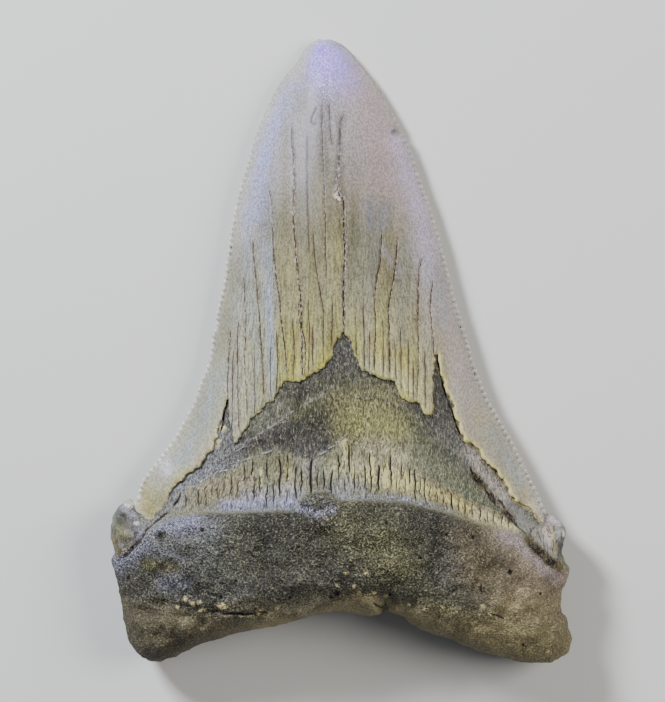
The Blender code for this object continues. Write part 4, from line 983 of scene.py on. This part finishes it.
# Painted shade in the gaps between the serrations, and a painted highlight on each tooth's crest.
stain = glaze(stain, "6b675f", 0.80 * spread(notches))
stain = glaze(stain, "ece8de", 0.85 * spread(tip_highlights))
dark_fill_and_shade_share = spread(dark_fill_and_shade)
crumb_share = np.maximum(spread(crumbs), near([(-0.7, 28.5), (-0.6, 26.6)], 0.7))

# Where cream flakes, painted pinpoint highlights, upright strokes and lengthwise streaks show.
cream = strongest([
    (0.75, 0.55, [(0.5, -15.9), (0.9, -18.4)]),
    (1.00, 0.50, [(5.4, -19.2), (5.4, -22.8)]),
    (0.95, 0.50, [(4.5, -21.7), (4.7, -23.1)]),
    (1.00, 0.60, [(7.8, -20.4), (7.9, -24)]),
    (0.70, 0.35, [(2.2, -21), (2.2, -22.4)]),
    (0.70, 0.70, [(9.4, -22.1), (9.7, -24.2)]),
    (0.75, 0.80, [(11.5, -22.2), (11.7, -24.2)]),
    (0.53, 0.90, [(13.9, -23.9), (16.4, -24.9), (19.3, -26.6), (22.9, -28.2)]),
    (0.50, 0.80, [(24.3, -29.1), (27.7, -30.3), (30.8, -31.8)]),
    (0.55, 0.60, [(-9.5, -20.2), (-9.4, -22.8)]),
    (0.55, 0.50, [(-14.2, -21.3), (-14.2, -23.9)]),
])
rim_gold = strongest([
    (1.0, 1.2, [(17.1, -1.5), (18, -5.5), (19.4, -9.1), (20.7, -12.7), (22, -16.1)]),
    (1.0, 1.0, [(22, -16.1), (24.7, -18.1), (27, -21.1), (29.7, -24.4), (31, -26.9)]),
    (0.8, 1.0, [(15.1, -9.1), (16, -11.4)]),
])
rim_gold *= np.exp(-(np.clip(spread(top_foot, 9), -9, 9) - 0.32) ** 2 / 0.18)
stain = glaze(stain, "b09a50", (0.75 + 0.4 * fibres) * rim_gold)
cream = np.maximum(cream, 0.85 * rim_gold)
# Painted pinpoint highlights of reflected light: at the tip, down the flanks, on the root's left shoulder
# and along the lines above its rim.
painted_glints = strongest([
    (0.90, 2.2, [(-2.9, 53.9), (-2.9, 46.4)]),
    (0.50, 2.4, [(-9.9, 45.6), (-13.1, 39.5), (-14.9, 31.4), (-15.7, 21.5)]),
    (0.50, 2.0, [(11.3, 36.8), (14.2, 26), (16.4, 15.2)]),
    (0.80, 1.8, [(-40.5, -37.9), (-37.1, -35.9), (-32.9, -32.1), (-28.1, -30.7), (-26.1, -30.7)]),
    (0.50, 1.6, [(-31.7, -41), (-28.1, -41)]),
    (0.90, 0.8, [(-7.7, -27.7), (-6.1, -27.9), (-4, -28.7), (-1.6, -28)]),
    (0.55, 1.3, [(23.2, -19.2), (26.8, -23.1), (29.5, -26.7)]),
    (0.50, 1.2, [(29.5, -33), (33.1, -35.2), (36.7, -39)]),
    (0.60, 1.0, [(-27.5, -24.6), (-22.7, -21.3), (-18.2, -19.5)]),
])
painted_glints = np.maximum(painted_glints, (0.6 + 0.5 * fleck) * painted_sheen * unit(reflection_places))
# The pale ridges carry painted pinpoint highlights too.
painted_glints = np.maximum(painted_glints, spread(crests))
# More painted pinpoint highlights across the root's middle.
painted_root_highlights = near([(-1.6, -29.2), (1.6, -32.1), (5.6, -35.4), (8.8, -37.9)], 4.2)
streaky = unit(olive + ripe + 0.8 * near([(-15.3, 8.9), (-16.4, -12.7)], 4.0)) * enamel * lingual
strokes = unit(band + 0.45 * near([(10.6, -16.3), (19.6, -21.7), (25, -26.2)], 5.0))
strokes *= (1 - enamel) * (1 - root)
grit = root * (1 - 0.45 * np.maximum(ease(-1.0, 1.5, basal), ease(14, 30, side)))
gloss = np.maximum(enamel, np.maximum(0.8 * knobs, 0.75 * lilac_strip) * (1 - root))

mesh = bpy.data.meshes.new("tooth")
mesh.from_pydata(np.column_stack([points, heights]) * MM, [], faces.tolist())
mesh.shade_smooth()
carried = {"enamel": gloss, "root": root, "dark_fill_and_shade": dark_fill_and_shade_share, "crumbs": crumb_share, "cream": cream,
           "painted_glints": painted_glints, "streaky": streaky, "strokes": strokes, "grit": grit, "painted_root_highlights": painted_root_highlights}
for name, values in carried.items():
    mesh.attributes.new(name, "FLOAT", "POINT").data.foreach_set("value", values.astype(np.float32))
colours = np.column_stack([unit(stain), np.ones(len(points))]).astype(np.float32)
mesh.attributes.new("stain", "FLOAT_COLOR", "POINT").data.foreach_set("color", colours.ravel())
mesh.update()

# Its flat pattern: the upper face seen from above and the lower face from below, with the root's
# steep sides folded outwards by how far they drop.
UPPER_MIDDLE = (0.336, 0.445)
UPPER_SCALE = 0.0070
LOWER_MIDDLE = (0.834, 0.5)
LOWER_SCALE = (-0.0036, 0.0036)
sideways = ease(31, 40, np.abs(side)) * ease(-55, -46, level)
heading = np.column_stack([np.sign(side) * sideways, sideways - 1])
heading /= np.hypot(*heading.T)[:, None]
crest_height = curve_at(ROOT_HEIGHT, np.abs(side))
drop = np.where(lingual, crest_height - heights, 1.4 * heights)
fold = np.clip(0.6 * drop - 1.5, 0, 5.5) * ease(-27, -33, level)
flat = points + heading * fold[:, None]
corner = faces.ravel()
upper = np.repeat(np.arange(len(faces)) < len(top_faces), 3)[:, None]
pattern = np.where(upper, UPPER_MIDDLE + flat[corner] * UPPER_SCALE,
                   LOWER_MIDDLE + flat[corner] * LOWER_SCALE)
mesh.uv_layers.new(name="OFBake").data.foreach_set("uv", pattern.astype(np.float32).ravel())

tooth = bpy.data.objects.new("tooth", mesh)
bpy.context.scene.collection.objects.link(tooth)


class Wire:
    """One output of a shader node; sums with it add Math nodes to the tree."""

    def __init__(self, tree, socket=None):
        self.tree = tree
        self.socket = socket

    def node(self, kind, settings, inputs, output=0):
        """A new node: its settings first, then its inputs, each a value or another wire."""
        made = self.tree.nodes.new(kind)
        for name, value in settings.items():
            setattr(made, name, value)
        for name, value in inputs.items():
            if isinstance(value, Wire):
                self.tree.links.new(value.socket, made.inputs[name])
            else:
                made.inputs[name].default_value = value
        return Wire(self.tree, made.outputs[output])

    def math(self, operation, first, second=0.0):
        """A new Math node of the operation on two values or wires."""
        return self.node("ShaderNodeMath", {"operation": operation}, {0: first, 1: second})

    def __add__(self, other):
        return self.math("ADD", self, other)

    def __radd__(self, other):
        return self.math("ADD", other, self)

    def __sub__(self, other):
        return self.math("SUBTRACT", self, other)

    def __rsub__(self, other):
        return self.math("SUBTRACT", other, self)

    def __mul__(self, other):
        return self.math("MULTIPLY", self, other)

    def __rmul__(self, other):
        return self.math("MULTIPLY", other, self)

    def ease(self, low, high):
        """0 at `low`, 1 at `high` and beyond, smoothly between."""
        return self.node("ShaderNodeMapRange", {"interpolation_type": "SMOOTHSTEP"},
                         {"Value": self, "From Min": low, "From Max": high})


material = bpy.data.materials.new("fossil_tooth")
material.use_nodes = True
tree = material.node_tree
tree.nodes.clear()
wire = Wire(tree)
place = wire.node("ShaderNodeTexCoord", {}, {}, "Object")


def reads(name):
    """The wire of a value that the mesh carries."""
    return wire.node("ShaderNodeAttribute", {"attribute_name": name}, {}, "Fac")


def grain(size, detail=2.0, along=None, rough=0.55):
    """Noise from 0 to 1 with grains of the size in millimetres, longer along the tooth if asked."""
    stretch = (1 / (size * MM), 1 / ((along or size) * MM), 1 / (size * MM))
    spot = wire.node("ShaderNodeVectorMath", {"operation": "MULTIPLY"}, {0: place, 1: stretch})
    return wire.node("ShaderNodeTexNoise", {}, {"Vector": spot, "Scale": 1.0, "Detail": detail,
                                                "Roughness": rough})


def worms(size, along=None):
    """0 to 1: thin winding ridges the size apart, where a noise passes through its middle value."""
    bend = grain(size, 1.0, along, 0.5)
    off = wire.math("ABSOLUTE", bend - 0.5)
    return (1 - off * 12.0).ease(0.0, 1.0)


stained = wire.node("ShaderNodeAttribute", {"attribute_name": "stain"}, {}, "Color")
hard = reads("enamel")
bony = reads("root") * (1 - hard)
soft = (1 - hard) * (1 - reads("root"))
groove = reads("dark_fill_and_shade")
sand = grain(0.36, 1.5, rough=0.6)
wrinkles = worms(0.55)
knit = worms(0.42, 1.3)
weave = grain(0.27, 1.5, 0.8, 0.6)
polish = grain(0.32, 1.5, 0.5, 0.6)
hairs = grain(0.30, 2.0, 9.0)

# Brightness of the grain: strong and wrinkled on the root, fibrous on the neck, faint on enamel.
rough_tone = sand.ease(0.40, 0.60) * 0.80 + wrinkles * 1.30 - 0.76
neck_tone = weave.ease(0.40, 0.60) * 0.75 + knit * 1.00 - 0.61
enamel_tone = polish.ease(0.40, 0.60) * 0.40 - 0.20
enamel_tone = enamel_tone + reads("streaky") * (hairs.ease(0.38, 0.62) * 0.50 - 0.27)
calm = 1 - reads("strokes") * 0.32
contrast = reads("grit") * (1 - hard) * rough_tone + soft * calm * neck_tone + hard * enamel_tone
tone = wire.node("ShaderNodeHueSaturation", {}, {"Value": 1 + contrast, "Color": stained})


def over(tone, factor, code):
    """The tone with the colour mixed over it by the factor."""
    return wire.node("ShaderNodeMix", {"data_type": "RGBA"}, {0: factor, 6: tone, 7: (*linear(code), 1)}, 2)


# Pale grains on the root and neck: partly their own pale grain and partly painted pinpoint highlights, more
# across the root's middle.
grains_and_highlights = (sand * wrinkles).ease(0.38, 0.60) * bony + (weave * knit).ease(0.40, 0.62) * soft
tone = over(tone, grains_and_highlights * (0.40 + reads("painted_root_highlights") * 0.55), "b0a988")
flakes = (reads("cream") + grain(0.30, 2.0, 0.9) * 0.9 - 0.45).ease(0.40, 0.52)
tone = over(tone, flakes * 0.85, "c6bf84")
# Painted pinpoint highlights: pale lilac spots, whiter on the enamel.
painted_highlight_spots = grain(0.30, 1.0).ease(0.57, 0.64) * reads("painted_glints")
tone = over(tone, painted_highlight_spots * (1 - hard) * 0.85, "bdbcd4")
tone = over(tone, painted_highlight_spots * hard * 0.75, "e4e0fb")
tone = over(tone, grain(0.28, 1.0, 2.4).ease(0.56, 0.64) * reads("strokes") * 0.72, "26221a")
rubble = grain(0.30, 2.0, 0.75)
tone = over(tone, reads("crumbs") * (1 - rubble.ease(0.40, 0.48)) * 0.75, "5f5040")
# The cracks' and slits' dark filling, and painted shade in the splits and pits.
tone = over(tone, groove.ease(0.03, 0.42) * 0.93, "1d1813")
tone = over(tone, reads("crumbs") * rubble.ease(0.55, 0.60) * 0.80, "bfb3a4")

relief = bony * (sand * 0.36 + wrinkles * 0.12) + soft * calm * (weave * 0.16 + knit * 0.08)
relief = relief + hard * (polish * 0.035)
bump = wire.node("ShaderNodeBump", {}, {"Strength": 1.0, "Distance": 1.0 * MM, "Height": relief})
roughness = 0.60 - hard * 0.28 - soft * 0.12 + polish * 0.12
surface = wire.node("ShaderNodeBsdfPrincipled", {}, {
    "Base Color": tone, "Roughness": roughness, "Normal": bump,
    "Specular IOR Level": 0.24, "Specular Tint": (0.78, 0.76, 1.0, 1.0)})
output = tree.nodes.new("ShaderNodeOutputMaterial")
tree.links.new(surface.socket, output.inputs["Surface"])
mesh.materials.append(material)

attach(tooth, "root")
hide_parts("shark_tooth")

# Floor.
# A plain pale matt sheet that the tooth lies on, large enough to fill every view.
FLOOR_HALF = 2.0
floor_mesh = bpy.data.meshes.new("floor")
floor_corners = [(x * FLOOR_HALF, y * FLOOR_HALF, 0) for x, y in ((-1, -1), (1, -1), (1, 1), (-1, 1))]
floor_mesh.from_pydata(floor_corners, [], [(0, 1, 2, 3)])
floor = bpy.data.objects.new("floor", floor_mesh)
bpy.context.scene.collection.objects.link(floor)
floor_material = bpy.data.materials.new("floor")
floor_material.use_nodes = True
floor_shader = floor_material.node_tree.nodes["Principled BSDF"]
floor_shader.inputs["Base Color"].default_value = (0.70, 0.70, 0.69, 1)
floor_shader.inputs["Roughness"].default_value = 0.9
floor_mesh.materials.append(floor_material)

# Light.
# A soft cool window up and to the left, a larger and weaker warm fill on the right, and a dim room.
# Each is given by its place, size, power and colour, and shines at the origin.
for name, spot, size, power, colour in [
    ("window", (-0.34, 0.34, 0.36), 0.14, 6.6, (0.93, 0.96, 1.0)),
    ("fill", (0.40, 0.06, 0.38), 0.30, 2.4, (1.0, 0.97, 0.91)),
]:
    light = bpy.data.lights.new(name, "AREA")
    light.size = size
    light.energy = power
    light.color = colour
    lamp = bpy.data.objects.new(name, light)
    lamp.location = spot
    lamp.rotation_euler = (-Vector(spot)).to_track_quat("-Z", "Y").to_euler()
    bpy.context.scene.collection.objects.link(lamp)
room = bpy.data.worlds.new("room")
room.use_nodes = True
room.node_tree.nodes["Background"].inputs["Color"].default_value = (0.86, 0.88, 0.92, 1)
room.node_tree.nodes["Background"].inputs["Strength"].default_value = 0.13
bpy.context.scene.world = room

# Camera.
# It looks straight down, with the tooth's tip towards the top of the view, and takes in
# VIEW_WIDTH at the height of the tooth's edge.
CAMERA_HEIGHT = 0.60
EDGE_LEVEL = 0.004
VIEW_WIDTH = 0.1197
SENSOR_WIDTH = 36.0
lens = bpy.data.cameras.new("camera")
lens.sensor_fit = "HORIZONTAL"
lens.sensor_width = SENSOR_WIDTH
lens.lens = SENSOR_WIDTH * (CAMERA_HEIGHT - EDGE_LEVEL) / VIEW_WIDTH
camera = bpy.data.objects.new("camera", lens)
camera.location = (-0.00153, -0.00027, CAMERA_HEIGHT)
bpy.context.scene.collection.objects.link(camera)
bpy.context.scene.camera = camera
